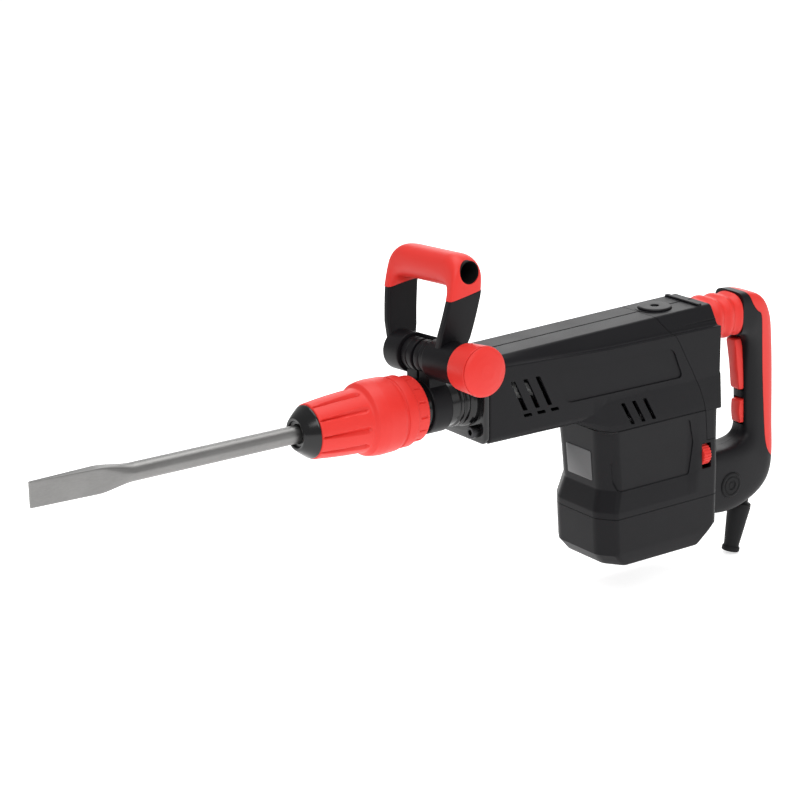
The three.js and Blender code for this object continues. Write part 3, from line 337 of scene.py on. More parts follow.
def solid(name, grid, wrapRows=False, sharp=32.0):
    # a grid of rings in millimetres becomes a closed mesh in metres: rings join in order, ends are capped
    rows, columns = grid.shape[:2]
    last = rows if wrapRows else rows - 1
    i, j = np.meshgrid(np.arange(last), np.arange(columns), indexing="ij")
    nextI, nextJ = (i + 1) % rows, (j + 1) % columns
    quads = np.stack([i * columns + j, i * columns + nextJ, nextI * columns + nextJ, nextI * columns + j], -1)
    faces = quads.reshape(-1, 4).tolist()
    if not wrapRows:
        faces += [list(range(columns))[::-1], list(range((rows - 1) * columns, rows * columns))]
    mesh = bpy.data.meshes.new(name)
    mesh.from_pydata(inFrame(grid.reshape(-1, 3)).tolist(), [], faces)
    made = bpy.data.objects.new(name, mesh)
    bpy.context.collection.objects.link(made)
    cleaned(made, sharp)
    return made


def cleaned(made, sharp=32.0):  # merge doubles, face outwards, smooth except at sharp edges
    work = bmesh.new()
    work.from_mesh(made.data)
    bmesh.ops.remove_doubles(work, verts=work.verts, dist=1.5e-6)
    bmesh.ops.dissolve_degenerate(work, dist=1e-6, edges=work.edges)
    bmesh.ops.recalc_face_normals(work, faces=work.faces)
    if work.calc_volume(signed=True) < 0:
        bmesh.ops.reverse_faces(work, faces=work.faces)
    work.to_mesh(made.data)
    work.free()
    made.data.polygons.foreach_set("use_smooth", np.ones(len(made.data.polygons), bool))
    made.data.set_sharp_from_angle(angle=math.radians(sharp))


def turned(name, profile, cut=0.5, axis="x", centre=(0, 0, 0), segments=96, shape=None, steps=4, place=None):
    # a closed (distance, radius) profile with eased corners, turned about an axis; shape may vary the radius
    line = rounded(profile, cut, steps)
    angle = np.linspace(0, 2 * math.pi, segments, endpoint=False)
    s, a = np.meshgrid(line[:, 0], angle, indexing="ij")
    r = np.maximum(line[:, 1], 0)[:, None] * np.ones_like(a)
    if shape:
        r = shape(s, a, r)
    c, d = r * np.cos(a), r * np.sin(a)
    order = {"x": (s, c, d), "y": (c, s, d), "z": (c, d, s)}[axis]
    grid = np.stack(order, -1) + centre
    return solid(name, place(grid) if place else grid, wrapRows=True)


def prism(name, points, low, high, axis="y", cut=0, place=None, steps=4):
    # an outline carried straight along an axis: (x, z) along y, (y, z) along x, (x, y) along z
    line = rounded(points, cut, steps) if np.any(cut) else np.asarray(points, float)
    rings = []
    for level in (low, high):
        k = np.full(len(line), float(level))
        u, v = line[:, 0], line[:, 1]
        rings.append(np.stack({"y": (u, k, v), "x": (k, u, v), "z": (u, v, k)}[axis], -1))
    grid = np.stack(rings)
    return solid(name, place(grid) if place else grid)


def block(name, x0, x1, y0, y1, z0, z1, place=None):
    return prism(name, [[x0, z0], [x1, z0], [x1, z1], [x0, z1]], y0, y1, place=place)


def carved(target, tools, operation="DIFFERENCE"):  # cut, join or keep with solid tools, which are used up
    for tool in tools:
        step = target.modifiers.new("carve", "BOOLEAN")
        step.operation = operation
        step.solver = "MANIFOLD"
        step.object = tool
        graph = bpy.context.evaluated_depsgraph_get()
        mesh = bpy.data.meshes.new_from_object(target.evaluated_get(graph))
        target.modifiers.clear()
        target.data = mesh
        bpy.data.objects.remove(tool)
    if len(target.data.polygons) == 0:
        print("EMPTY after carve", target.name)
    return target


def copied(source, name):
    made = bpy.data.objects.new(name, source.data.copy())
    bpy.context.collection.objects.link(made)
    return made


def evened(made):  # large flat faces keep their own direction where carved edges meet them
    step = made.modifiers.new("even", "WEIGHTED_NORMAL")
    step.keep_sharp = True
    step.weight = 100
    mesh = bpy.data.meshes.new_from_object(made.evaluated_get(bpy.context.evaluated_depsgraph_get()))
    made.modifiers.clear()
    made.data = mesh


def installed(made, body, nodes, slotName, finish=None, sharp=32.0, even=False):
    cleaned(made, sharp)
    if even:
        evened(made)
    made.data.materials.clear()
    made.data.materials.append(finish or slotFinish[slotName])
    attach(made, body)
    if nodes:
        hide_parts(*nodes)
    return made


# chisel: the section passes from a thin rectangle at the edge to a round shank
chiselSet = dict(length=400, shank=9, bladeHalf=12.5, bladeEnd=65, taperEnd=106, edge=1.5, grooves=(333, 378),
                 grooveFlat=5.0)


def makeChisel(c):
    # section: half width and half thickness blend along the length, and the power of the superellipse falls to one
    x = np.unique(np.concatenate([np.linspace(0, 1.2, 4), np.linspace(1.2, 60, 16), np.linspace(60, 112, 40),
                                  np.linspace(112, 332, 12), np.linspace(332, 379, 30), np.linspace(379, 400, 12)]))
    t = np.clip((x - c["bladeEnd"]) / (c["taperEnd"] - c["bladeEnd"]), 0, 1)
    ease = t * t * (3 - 2 * t)
    wide = c["bladeHalf"] + (c["shank"] - c["bladeHalf"]) * ease
    thick = np.interp(x, [0, c["bladeEnd"], c["taperEnd"]], [c["edge"], 5.6, c["shank"]])
    power = 0.12 + 0.88 * ease
    chamfer = np.interp(x, [398, 400], [0, 2])
    wide, thick = wide - chamfer, thick - chamfer
    a = np.linspace(0, 2 * math.pi, 72, endpoint=False)
    shaped = lambda v, p: np.sign(v)[None, :] * np.abs(v)[None, :] ** p[:, None]
    z = wide[:, None] * shaped(np.sin(a), power)
    y = thick[:, None] * shaped(np.cos(a), power)
    low, high = c["grooves"]
    inGroove = ((x > low) & (x < high))[:, None]
    y = np.where(inGroove, np.clip(y, -c["grooveFlat"], c["grooveFlat"]), y)
    grid = np.stack([np.broadcast_to(x[:, None], y.shape), y, z], -1)
    return installed(solid("chiselBar", grid), "chisel", ["chisel"], "steel", chiselSteel, sharp=28)


makeChisel(chiselSet)
print("chisel")

# chuck: dust cap, locking sleeve with flutes, index ring with notches
chuckSet = dict(nose=282, sleeve=296.3, sleeveEnd=404.3, ringFront=380.3, ringEnd=419.3, flutes=10, notches=14)


def makeChuck(c):
    nose, front, end = c["nose"], c["sleeve"], c["sleeveEnd"]
    cap = [[nose + 3, 9.6], [nose + 3, 12.6], [nose + 0.2, 13.4], [nose, 15.9], [nose + 1, 17.2], [nose + 5, 20.6],
           [front - 1.6, 26.2], [front - 0.3, 26.4], [front - 0.3, 24], [front + 7.7, 24], [front + 7.7, 15.6],
           [nose + 7, 15.6], [nose + 7, 9.6]]
    installed(turned("dustCap", cap, 0.8), "holder", ["dust_cap"], "gloss_black")

    def flutes(s, a, r):
        # V grooves that widen and deepen rearward, ending in a blunt step before the bulge
        along = (s - front) / 50.0
        width = 0.045 + 0.085 * np.clip(along, 0, 1)
        pitch = 2 * math.pi / c["flutes"]
        offset = np.abs((a + pitch / 2) % pitch - pitch / 2)
        depth = 3.0 * np.clip(1 - offset / width, 0, 1) * np.clip(along * 9 + 0.25, 0, 1)
        depth *= np.clip((front + 55 - 4 * (offset / width) ** 2 - s) / 3, 0, 1)
        return np.where(r > 24.9, r - depth, r)

    cone = np.linspace(0, 1, 40)
    conePoints = np.stack([front + 1 + cone * 55.7, 27.4 + 4.6 * cone + 0.6 * np.sin(math.pi * cone)], 1)
    rear = [[front + 58, 32.8], [front + 61, 36.2], [front + 66.7, 37.4], [front + 73.7, 38.1], [end - 18.3, 37.6],
            [end - 15.4, 37.1], [end - 14.9, 34.8], [end - 12, 34.8], [end - 11.4, 36.2], [end - 1, 36.2],
            [end, 35.2], [end, 34], [end - 34, 34], [end - 34, 25.4], [front + 54, 25.4], [front + 54, 15.9],
            [front + 12, 15.9], [front + 12, 24.8], [front, 24.8], [front, 26.6]]
    profile = np.concatenate([conePoints, np.array(rear)])
    installed(turned("lockingSleeve", profile, 0.7, segments=240, shape=flutes, steps=3), "sleeve",
              ["locking_sleeve"], "red_grip", sharp=24)

    def notches(s, a, r):
        # shallow thin grooves across the band that shows behind the sleeve
        pitch = 2 * math.pi / c["notches"]
        offset = np.abs((a + pitch / 2) % pitch - pitch / 2)
        notch = np.clip((0.034 - offset) / 0.01, 0, 1)
        band = np.clip((s - (end + 3)) / 1.2, 0, 1) * np.clip((end + 12.5 - s) / 1.2, 0, 1)
        return np.where(r > 28, r - 1.2 * notch * band, r)

    ringFront, ringEnd = c["ringFront"], c["ringEnd"]
    line = np.linspace(end + 1, ringEnd - 1.6, 24)
    outer = np.stack([line, 33.3 + 0 * line], 1)
    rear = [[ringEnd, 31.8], [ringEnd, 27.8], [ringFront + 4, 27.8], [ringFront + 4, 17.9]]
    ring = np.concatenate([[[ringFront, 17.9], [ringFront, 33], [end - 1, 33]], outer, rear])
    installed(turned("indexRing", ring, 0.4, segments=288, shape=notches, steps=2), "holder", ["index_ring"],
              "red_grip", sharp=24)


makeChuck(chuckSet)
print("chuck")

# casing: cross-section at a station, eased corners, then the motor block below it
casingSet = dict(front=487.3, length=303.0, roofHalf=28, roofFront=44, roofRear=51, sideFront=39, sideRear=46,
                 belly=-43, seamGap=0.6, wall=3.0)


def mirrored(half):  # (y, z) points of one side are repeated for the other
    h = np.asarray(half, float)
    return np.concatenate([h, (h * (-1, 1))[::-1]])


def casingSection(x, inset=0.0):
    # half outline from belly to roof, drawn in by an inset; every value runs evenly along the casing
    c = casingSet
    t = (x - c["front"]) / c["length"]
    early = min(max(t * 2, 0), 1)
    roof = c["roofFront"] + (c["roofRear"] - c["roofFront"]) * t - inset
    side = c["sideFront"] + (c["sideRear"] - c["sideFront"]) * t - inset
    waist = 36 - 5 * early - inset * 0.5
    scoop = 0.2 + 3.0 * early
    belly = c["belly"] + inset
    half = [[0, belly], [side - 4, belly], [side, belly + 5], [side, waist], [side - 3.2 - scoop, waist + 3 - scoop],
            [side - 6.4 - scoop * 0.8, waist + 6.4 - scoop * 0.4],
            [c["roofHalf"] + 1 - inset * 0.6, roof - 1.2], [c["roofHalf"] - 1.2 - inset * 0.6, roof], [1.1, roof],
            [0.2, roof - 0.7 if inset == 0 else roof]]
    cuts = [0, 3, 3, 1.1, 3, 3, 1.2, 1.4, 0.4, 0.1]
    line = rounded(mirrored(half), cuts + cuts[::-1], 4)
    return np.column_stack([np.full(len(line), x), line])


def barrelBody(name, inset, front, rear):
    x0, x1 = casingSet["front"] - front, casingSet["front"] + casingSet["length"] + rear
    ends = [(x0, 1.6), (x0 + 0.5, 0.7), (x0 + 1.6, 0.0)] if inset == 0 else [(x0, 0)]
    middle = [(x, 0.0) for x in np.linspace(x0 + 3, x1 - 3, 36)]
    tail = [(x1 - 1.6, 0.0), (x1 - 0.5, 0.7), (x1, 1.6)] if inset == 0 else [(x1, 0)]
    return solid(name, np.stack([casingSection(x, inset + extra) for x, extra in ends + middle + tail]))


motorSet = dict(front=631, rear=790.3, half=50, shoulder=-125, seam=-58, capSeam=-155, base=-210, baseFront=645,
                baseRear=767.3)


def motorPlan(z, inset=0.0):
    # plan outline at a height: the ends draw in below the cap's bevels, and a waist draws in above the shoulder
    m = motorSet
    waist = np.interp(z, [-148, m["shoulder"], m["seam"]], [0, 1, 0])
    front = np.interp(z, [-210, -196, -155], [m["baseFront"], m["front"] + 2.5, m["front"]]) + inset + 6.5 * waist
    rear = np.interp(z, [-210, -188], [m["baseRear"], m["rear"]]) - inset
    wide = m["half"] - inset - np.interp(z, [-210, -196], [2.6, 0]) - np.interp(z, [m["shoulder"], -90], [0, 1.5])
    half = wide - 3.2 * waist
    near = [[front, 0], [front, -half + 19], [front + 14, -half], [746, -half], [758, -wide], [rear - 7, -wide],
            [rear, -wide + 7], [rear, 0]]
    far = [[x, -y] for x, y in near[1:-1]][::-1]
    cuts = [0, 5, 4, 3, 3, 3.5, 3.5, 0, 3.5, 3.5, 3, 3, 4, 5]
    line = rounded(near + far, cuts, 5)
    return np.column_stack([line, np.full(len(line), z)])


def motorBody(name, inset):
    low = motorSet["base"] + inset
    levels = [(low, 2.0), (low + 0.5, 0.9), (low + 1.8, 0.0)] if inset == 0 else [(low, 0)]
    heights = [-203, -196, -192, -188, -180, -165, -149, -148, -147, -136, -126, -125, -124, -110, -90, -80, -66,
               -58.9]
    return solid(name, np.stack([motorPlan(z, inset + e) for z, e in levels + [(h, 0.0) for h in heights]]))


def flareBody(name, inset):
    # the belly widens over a pyramid bevel to meet the motor block
    stations = [(592, 20, -43.2, 26, -42.8, 30, -40), (603, 31, -44.5, 38, -42, 41, -36),
                (637, 48.3, -60, 47.3, -52, 42.4, -24), (690, 48.4, -60, 47.6, -52, 43.6, -22),
                (790.3, 48.5, -60, 48, -52, 45.9, -21)]
    rings = []
    for x, y0, z0, y1, z1, y2, z2 in stations:
        half = [[0, z0 + inset], [y0 - inset, z0 + inset], [y1 - inset, z1], [y2 - inset, z2], [y2 - 8, z2 + 8],
                [0, z2 + 8]]
        line = rounded(mirrored(half), [0, 2, 1.6, 2, 0, 0, 0, 0, 2, 1.6, 2, 0], 3)
        rings.append(np.column_stack([np.full(len(line), min(x, 790.3 - inset)), line]))
    return solid(name, np.stack(rings))


seamCurve = [[708, 60], [713, 47], [729, 28], [740, 7], [754, -18], [763, -37], [768, -56], [771, -92]]
seamLine = resampled(softened(seamCurve, 2), 40)
motorTop = [[560, -70], [590, -43.3], [611, -52], [645, -58], [860, -58], [860, -240], [560, -240]]


past = dict(front=400, rear=900, half=70, low=-240, high=80)  # cutting blocks reach past the tool on every side
coverLow = -92  # lower edge of the rear cover


def rearRegion(name, grow):
    edge = coverLow - grow
    line = [[x - grow, z] for x, z in seamLine] + [[771 - grow, edge], [850, edge], [850, 60]]
    return prism(name, line, -past["half"], past["half"])


def pastBlock(name, near=-past["half"], far=past["half"], low=past["low"], high=past["high"]):
    return block(name, past["front"], past["rear"], near, far, low, high)


def motorRegion(name, grow):
    line = [[x, z + (grow if i < 5 else 0)] for i, (x, z) in enumerate(motorTop)]
    return prism(name, line, -past["half"], past["half"])


def slantedSlot(x, z, length, wide, side, lean=26.0):
    # a through slot that leans back as it goes down, with eased ends
    shift = length * math.tan(math.radians(lean))
    outline = [[x, z], [x + wide, z], [x + wide + shift, z - length], [x + shift, z - length]]
    low, high = (20, past["half"]) if side > 0 else (-past["half"], -20)
    return prism("slotTool", outline, low, high, cut=1.2)


def casingVents():
    tools = []
    for side in (-1, 1):
        tools += [slantedSlot(512.6 + 15.5 * i, 18.5, 33, 5.6, side) for i in range(3)]
        tools += [slantedSlot(653.5 + 14.5 * i, -30, 24, 5, side) for i in range(3)]
        tools += [slantedSlot(528.6 + 17 * i, -18, 3.6, 10, side) for i in range(3)]
    return tools


def sidePanel(outline, depth, cut, low, high):
    # a shallow recess: the part of a prism that lies outside an inset copy of the body
    tools = []
    for side in (-1, 1):
        body = prism("panelTool", outline, low if side > 0 else -high, high if side > 0 else -low, cut=cut)
        carved(body, [depth(side)])
        tools.append(body)
    return tools


def makeCasing():
    outer = carved(barrelBody("outerBody", 0.0, 0, 0), [flareBody("flare", 0.0), motorBody("motor", 0.0)], "UNION")
    wall = casingSet["wall"]
    inner = carved(barrelBody("innerBody", wall, -wall, -wall), [flareBody("flareIn", wall),
                                                                 motorBody("motorIn", wall)], "UNION")
    carved(outer, [inner])
    label = [[568, 19], [724, 17], [738, -17], [584, -17]]
    badge = [[664, -64], [746, -64], [752, -90], [747, -126], [650, -126], [640, -100]]
    half = casingSet["seamGap"] / 2
    labels = sidePanel(label, lambda side: barrelBody("skin", 1.5, 5, 5), 7, 34, 70)
    badges = sidePanel(badge, lambda side: motorBody("skinMotor", 1.0), 3, 40, 70)
    bore = turned("frontBore", [[480, 0], [480, 23], [500, 23], [500, 0]], 0)
    rear = carved(copied(outer, "rearCover"), [rearRegion("rr", -half)], "INTERSECT")
    carved(rear, [pastBlock("keepUp", low=coverLow + half)], "INTERSECT")
    motor = carved(copied(outer, "motorHousing"), [motorRegion("mr", -half)], "INTERSECT")
    seam = motorSet["capSeam"]
    carved(motor, [rearRegion("rg", half), pastBlock("capLow", high=seam + half)] + badges)
    cap = carved(copied(outer, "motorCap"), [pastBlock("capKeep", high=seam - half)], "INTERSECT")
    carved(outer, [rearRegion("rg2", half), motorRegion("mg2", half), bore] + labels + casingVents())
    left = carved(copied(outer, "casingLeft"), [pastBlock("near", far=-0.2)], "INTERSECT")
    right = carved(copied(outer, "casingRight"), [pastBlock("far", near=0.2)], "INTERSECT")
    bpy.data.objects.remove(outer)
    return left, right, rear, motor, cap


capSet = dict(station=736, radius=18, roof=51)


def ovalRing(x, halfY, halfZ, middle=26.0, count=64, power=0.75):
    a = np.linspace(0, 2 * math.pi, count, endpoint=False)
    y = halfY * np.sign(np.cos(a)) * np.abs(np.cos(a)) ** power
    z = middle + halfZ * np.sign(np.sin(a)) * np.abs(np.sin(a)) ** power
    return np.stack([np.full(count, float(x)), y, z], 1)


def finishRear(rear):
    # a stub for the bellows, a rib across the roof, a recess for the filler cap and a line along each side
    station, radius, roof = capSet["station"], capSet["radius"], capSet["roof"]
    stub = solid("stub", np.stack([ovalRing(x, halfY, halfZ) for x, halfY, halfZ in
                                   ((786.3, 25.2, 18.4), (801, 24.8, 18.2), (802.3, 24, 17.6))]))
    rib = solid("rib", np.stack([np.column_stack([np.full(16, x), rounded([[-27 + e, 49], [27 - e, 49],
                [27 - e, 53 - e * 0.6], [-27 + e, 53 - e * 0.6]], [0.1, 0.1, 1.4, 1.4], 3)])
                for x, e in ((773, 1.4), (774, 0.2), (778, 0.2), (779, 1.4))]))
    boss = turned("boss", [[roof - 9, 0], [roof - 9, radius + 3], [roof - 1.2, radius + 3], [roof - 1.2, 0]], 0, "z",
                  (station, 0, 0))
    carved(boss, [rearRegion("bossKeep", -0.3)], "INTERSECT")
    carved(rear, [stub, rib, boss], "UNION")
    hollow = solid("hollow", np.stack([ovalRing(780, 22, 14), ovalRing(804, 22, 14)]))
    wide = radius + 0.4
    pocket = turned("pocket", [[roof - 5, 0], [roof - 5, wide], [roof + 6, wide], [roof + 6, 0]], 0, "z",
                    (station, 0, 0))
    lines = []
    for side in (-1, 1):
        low, high = (36, 60) if side > 0 else (-60, -36)
        line = block("line", 724, 792, low, high, 35.6, 37.4)
        lines.append(carved(line, [barrelBody("lineSkin", 1.0, 5, 5)]))
    return carved(rear, [hollow, pocket] + lines)


def finishMotor(motor):
    # the bracket that holds the rear handle's pin, and the dial's window
    bracket = prism("bracket", [[788, -175], [833, -175], [833, -151], [788, -151]], -7, 7, cut=1.5)
    boss = turned("bracketBoss", [[-7, 0], [-7, 12], [7, 12], [7, 0]], 0.5, "y", (832, 0, -163))
    carved(bracket, [boss], "UNION")
    carved(bracket, [block("underCap", 700, 900, -20, 20, -240, -154.7)])
    carved(motor, [bracket], "UNION")
    hole = turned("pinHole", [[-10, 0], [-10, 6.35], [10, 6.35], [10, 0]], 0, "y", (832, 0, -163))
    window = prism("window", [[763.5, -123], [776.5, -123], [776.5, -95], [763.5, -95]], -70, -30, cut=2)
    return carved(motor, [hole, window])


left, right, rear, motor, cap = makeCasing()
print("casing carved")
for shell, node in ((left, "casing_left"), (right, "casing_right"), (finishRear(rear), "rear_cover"),
                    (finishMotor(motor), "motor_housing"), (cap, "motor_cap")):
    installed(shell, "housing", [node], "casing", even=True)
print("casing")

neckSet = dict(front=421.3, radius=25.5, bore=22.5)
screwPlaces = [(-25, -30), (25, -30), (-25, 31), (25, 31)]


def makeNeck(n):
    r = n["radius"]
    line = [[395.3, n["bore"]], [395.3, r - 1], [n["front"], r - 1], [n["front"] + 0.3, r], [461, r],
            [461.8, r + 1.7], [465, r + 1.7], [465.8, r + 0.3], [467.6, r + 0.3], [468.4, r + 1.9], [472, r + 1.9],
            [473.4, r + 0.5], [475.4, r + 3.2], [478, r + 4.6], [482, r + 4.6], [482, n["bore"]]]
    neck = turned("barrelNeck", line, 0.7)
    rings = [casingSection(x, i) for x, i in ((481.0, 2.2), (481.5, 1.2), (482.6, 0.6), (486.0, 0.6), (487.0, 1.0))]
    plate = carved(solid("neckPlate", np.stack(rings)),
                   [turned("plateBore", [[470, 0], [470, n["bore"]], [490, n["bore"]], [490, 0]], 0)])
    carved(neck, [plate], "UNION")
    tools = []
    for y, z in screwPlaces:
        tools.append(turned("screwHole", [[470, 0], [470, 7.5], [480.7, 7.5], [480.7, 4.3], [490, 4.3], [490, 0]], 0,
                            centre=(0, y, z), segments=48))
    installed(carved(neck, tools), "housing", ["barrel_neck"], "gloss_black")
    for i, (y, z) in enumerate(screwPlaces):
        head = [[472.7, 0], [472.7, 5.7], [473.5, 6.5], [480.7, 6.5], [480.7, 4], [501.3, 4], [501.3, 0]]
        screw = turned(f"flangeScrew{i + 1}", head, 0.3, centre=(0, y, z), segments=48)
        a = np.arange(6) * math.pi / 3
        socket = prism("socket", np.stack([y + 3.4 * np.cos(a), z + 3.4 * np.sin(a)], 1), 470, 476.5, "x")
        installed(carved(screw, [socket]), "housing", [f"flange_screw_{i + 1}"], "dark_steel")


makeNeck(neckSet)
roof = capSet["roof"]
fillerCap = turned("fillerCap", [[roof - 4.7, 0], [roof - 4.7, 18], [roof + 0.3, 18], [roof + 1.3, 16.6],
                                 [roof + 1.3, 5], [roof + 0.9, 4.5], [roof - 0.6, 4.5], [roof - 0.6, 0]], 0.4, "z",
                   (736, 0, 0))
capSlots = [block("capSlot", 736 - u, 736 + u, -v, v, roof - 1.6, roof + 4) for u, v in ((4.2, 0.8), (0.8, 4.2))]
installed(carved(fillerCap, capSlots), "housing", ["grease_cap"], "casing")
print("neck")

# side handle: clamp, knob, hubs, arms and grip
loopSet = dict(offset=3, foot=42, half=58, thick=9, depth=36, gripHeight=90, gripRadius=17, reach=27, bow=1.8)


def makeClamp():
    band = turned("clampBand", [[-11, 25.8], [-11, 28.2], [-9.5, 28.8], [9.5, 28.8], [11, 28.2], [11, 25.8]], 0.3,
                  place=onClamp)
    stem = prism("stem", [[-19, 17], [19, 17], [19, 30], [16, 50], [-16, 50], [-19, 30]], -10, 10, "x", cut=1.0,
                 place=onClamp)
    lugs = []
    for side in (-1, 1):
        near = 2.0 if side > 0 else -19.0
        # one fine groove runs round each lug
        steps = [[0, 0], [0, 16.3], [0.8, 16.9], [7.4, 16.9], [7.8, 16.1], [9.2, 16.1], [9.6, 16.9], [16.2, 16.9],
                 [17, 16.3], [17, 0]]
        line = [[near + s, r] for s, r in steps]
        lugs.append(turned("lug", line, 0.2, "y", steps=2, place=onLug))
    carved(band, [stem] + lugs, "UNION")
    core = turned("neckSpace", [[-20, 0], [-20, 25.8], [20, 25.8], [20, 0]], 0, place=onClamp)
    split = block("split", -30, 30, -2, 2, 23, 90, place=onClamp)
    bore = turned("boltBore", [[-40, 0], [-40, 5.3], [40, 5.3], [40, 0]], 0, "y", place=onLug, segments=32)
    installed(carved(band, [core, split, bore]), "clamp", ["clamp_band"], "gloss_black", blackCasing)


def makeLoop(c):
    far, near = c["foot"] + c["offset"], c["foot"] - c["offset"]
    arms = []
    top = c["gripHeight"] - 22
    for side, foot in ((1, far), (-1, near)):
        head = c["offset"] * side + c["half"] - 1
        rings = []
        for t in np.linspace(0, 1, 26):
            z = -2 + (top + 10) * t
            # the arm's depth grows from the hub to its full size, and the section is a rounded bar
            half = np.interp(z, [-2, 26, top], [14, c["depth"] / 2, c["depth"] / 2])
            rise = min(max(z, 0) / top, 1)
            y = foot - c["thick"] / 2 + (head - foot) * rise + c["bow"] * math.sin(math.pi * rise)
            bar = rounded([[-half, -4.5], [half, -4.5], [half, 4.5], [-half, 4.5]], 2.6, 5)
            rings.append(np.column_stack([bar[:, 0], side * (y + bar[:, 1]), np.full(len(bar), z)]))
        arm = solid("arm", onLoop(np.stack(rings)))
        slant = prism("slant", [[-40, top - 17.5], [40, top + 15], [40, 150], [-40, 150]], -90, 90, place=onLoop)
        arms.append(carved(arm, [slant]))
    farHub = turned("farHub", [[20, 0], [20, 20.2], [22, 20.5], [far - 1, 20.5], [far, 19.6], [far, 0]], 0.6, "y",
                    place=onLoop)
    rim = -near - c["reach"]
    nearHub = turned("nearHub", [[rim, 0], [rim, 19.4], [rim + 1.4, 20.5], [-22, 20.5], [-20, 20.2], [-20, 0]], 0.6,
                     "y", place=onLoop)
    hood = turned("hood", [[-22, 17.4], [-22, 20.5], [22, 20.5], [22, 17.4]], 0.3, "y", place=onLoop)
    carved(hood, [block("hoodFront", -40, 2, -60, 60, -40, 40, place=onLoop),
                  block("hoodLow", -40, 40, -60, 60, -40, -4, place=onLoop)])
    carved(farHub, [nearHub, hood] + arms, "UNION")
    seat = turned("seat", [[rim - 1, 0], [rim - 1, 15.5], [-near + 6, 15.5], [-near + 6, 0]], 0, "y",
                  place=onLoop)
    cup = turned("cup", [[far - 12, 0], [far - 12, 11], [far + 1, 11], [far + 1, 0]], 0, "y", place=onLoop)
    bore = turned("hubBore", [[-90, 0], [-90, 5.3], [90, 5.3], [90, 0]], 0, "y", place=onLoop, segments=32)
    installed(carved(farHub, [seat, cup, bore]), "loop", ["loop_frame"], "casing", sharp=28)


def makeGrip(c):
    # the bar's outer and inner lines in (across, up); each section is a superellipse between their points
    y0, y1 = c["offset"] - c["half"], c["offset"] + c["half"]
    high, low, foot = c["gripHeight"] + c["gripRadius"], c["gripHeight"] - c["gripRadius"], 46.0
    rows = [(y0, foot, y0 + 12.5, foot, 0.35), (y0, 62, y0 + 12.5, 58, 0.38), (y0, 78, y0 + 12.5, 68, 0.5),
            (y0 + 1, 96, y0 + 18, low, 0.62), (y0 + 14, high, y0 + 30, low, 0.74),
            (y0 + 34, high, y0 + 38, low, 0.85), (y1 - 34, high, y1 - 38, low, 0.85),
            (y1 - 14, high, y1 - 30, low, 0.74),
            (y1 - 1, 96, y1 - 18, low, 0.62), (y1, 78, y1 - 12.5, 68, 0.5), (y1, 62, y1 - 12.5, 58, 0.38),
            (y1, foot, y1 - 12.5, foot, 0.35)]
    path = resampled(softened(rows, 3), 90)
    a = np.linspace(0, 2 * math.pi, 56, endpoint=False)
    power = path[:, 4:5]
    c1 = np.sign(np.cos(a)) * np.abs(np.cos(a)) ** power
    s1 = np.sign(np.sin(a)) * np.abs(np.sin(a)) ** power
    y = (path[:, 0:1] + path[:, 2:3]) / 2 + (path[:, 0:1] - path[:, 2:3]) / 2 * c1
    z = (path[:, 1:2] + path[:, 3:4]) / 2 + (path[:, 1:2] - path[:, 3:4]) / 2 * c1
    grid = np.stack([c["depth"] / 2 * s1, y, z], -1)
    grip = solid("loopGrip", onLoop(grid))
    top = c["gripHeight"] - 22
    slant = prism("slantGrip", [[-40, top - 16.9], [40, top + 15.6], [40, 0], [-40, 0]], -90, 90, place=onLoop)
    bore = turned("gripBore", [[y0 - 4, 0], [y0 - 4, 11.5], [y1 - 22, 11.5], [y1 - 22, 0]], 0, "y",
                  (0, 0, c["gripHeight"]), place=onLoop)
    installed(carved(grip, [slant, bore]), "loop", ["loop_grip"], "red_grip", sharp=36)
    # a dark sleeve stands just inside the grip's bore: painted shade for the inside of the bore
    line = [[y0 + 1.6, 10.6], [y0 + 1.6, 11.4], [y1 - 22.3, 11.4], [y1 - 22.3, 0], [y1 - 23.3, 0], [y1 - 23.3, 10.6]]
    installed(turned("gripLiner", line, 0.1, "y", (0, 0, c["gripHeight"]), place=onLoop), "loop", [], "casing",
              boreShadeFinish)


def makeKnob():
    line = [[-33.5, 5.3], [-33.5, 14.5], [-66.8, 14.5], [-66.8, 22.4], [-68.2, 23.6], [-95.2, 25.2], [-95.8, 24.8],
            [-95.8, 23.2], [-96.8, 23.2], [-96.8, 24.7], [-97.6, 24.5], [-99.4, 21.8], [-101.2, 15.8], [-102.6, 8],
            [-103, 0], [-84, 0], [-84, 5.3]]
    installed(turned("clampKnob", line, 0.6, "y", place=onLug), "knob", ["clamp_knob"], "red_grip", sharp=40)


makeClamp()
makeLoop(loopSet)
makeGrip(loopSet)
makeKnob()
print("side handle")


# rear handle: the D is a closed section carried between an outer and an inner line
rearRows = [(843, 51.5, 843, 3, 23, 0.42), (860, 50.5, 849, 2.4, 23, 0.42), (878, 44, 853.5, -2, 22.6, 0.46),
            (891, 24, 856, -8, 21, 0.55), (897, 0, 857.5, -18, 19, 0.66), (903, -45, 859.5, -48, 16, 0.72),
            (905, -107, 861.5, -99, 16, 0.72), (905.2, -143, 862, -111, 17.5, 0.6), (899, -167, 857, -117.5, 20, 0.5),
            (883, -182, 850, -120.5, 22, 0.42), (856, -193, 838, -122.5, 23, 0.36),
            (832, -197, 826, -122.5, 23, 0.34),
            (806, -194, 808, -122.5, 23, 0.34), (793.8, -182, 793.8, -123, 23, 0.34)]


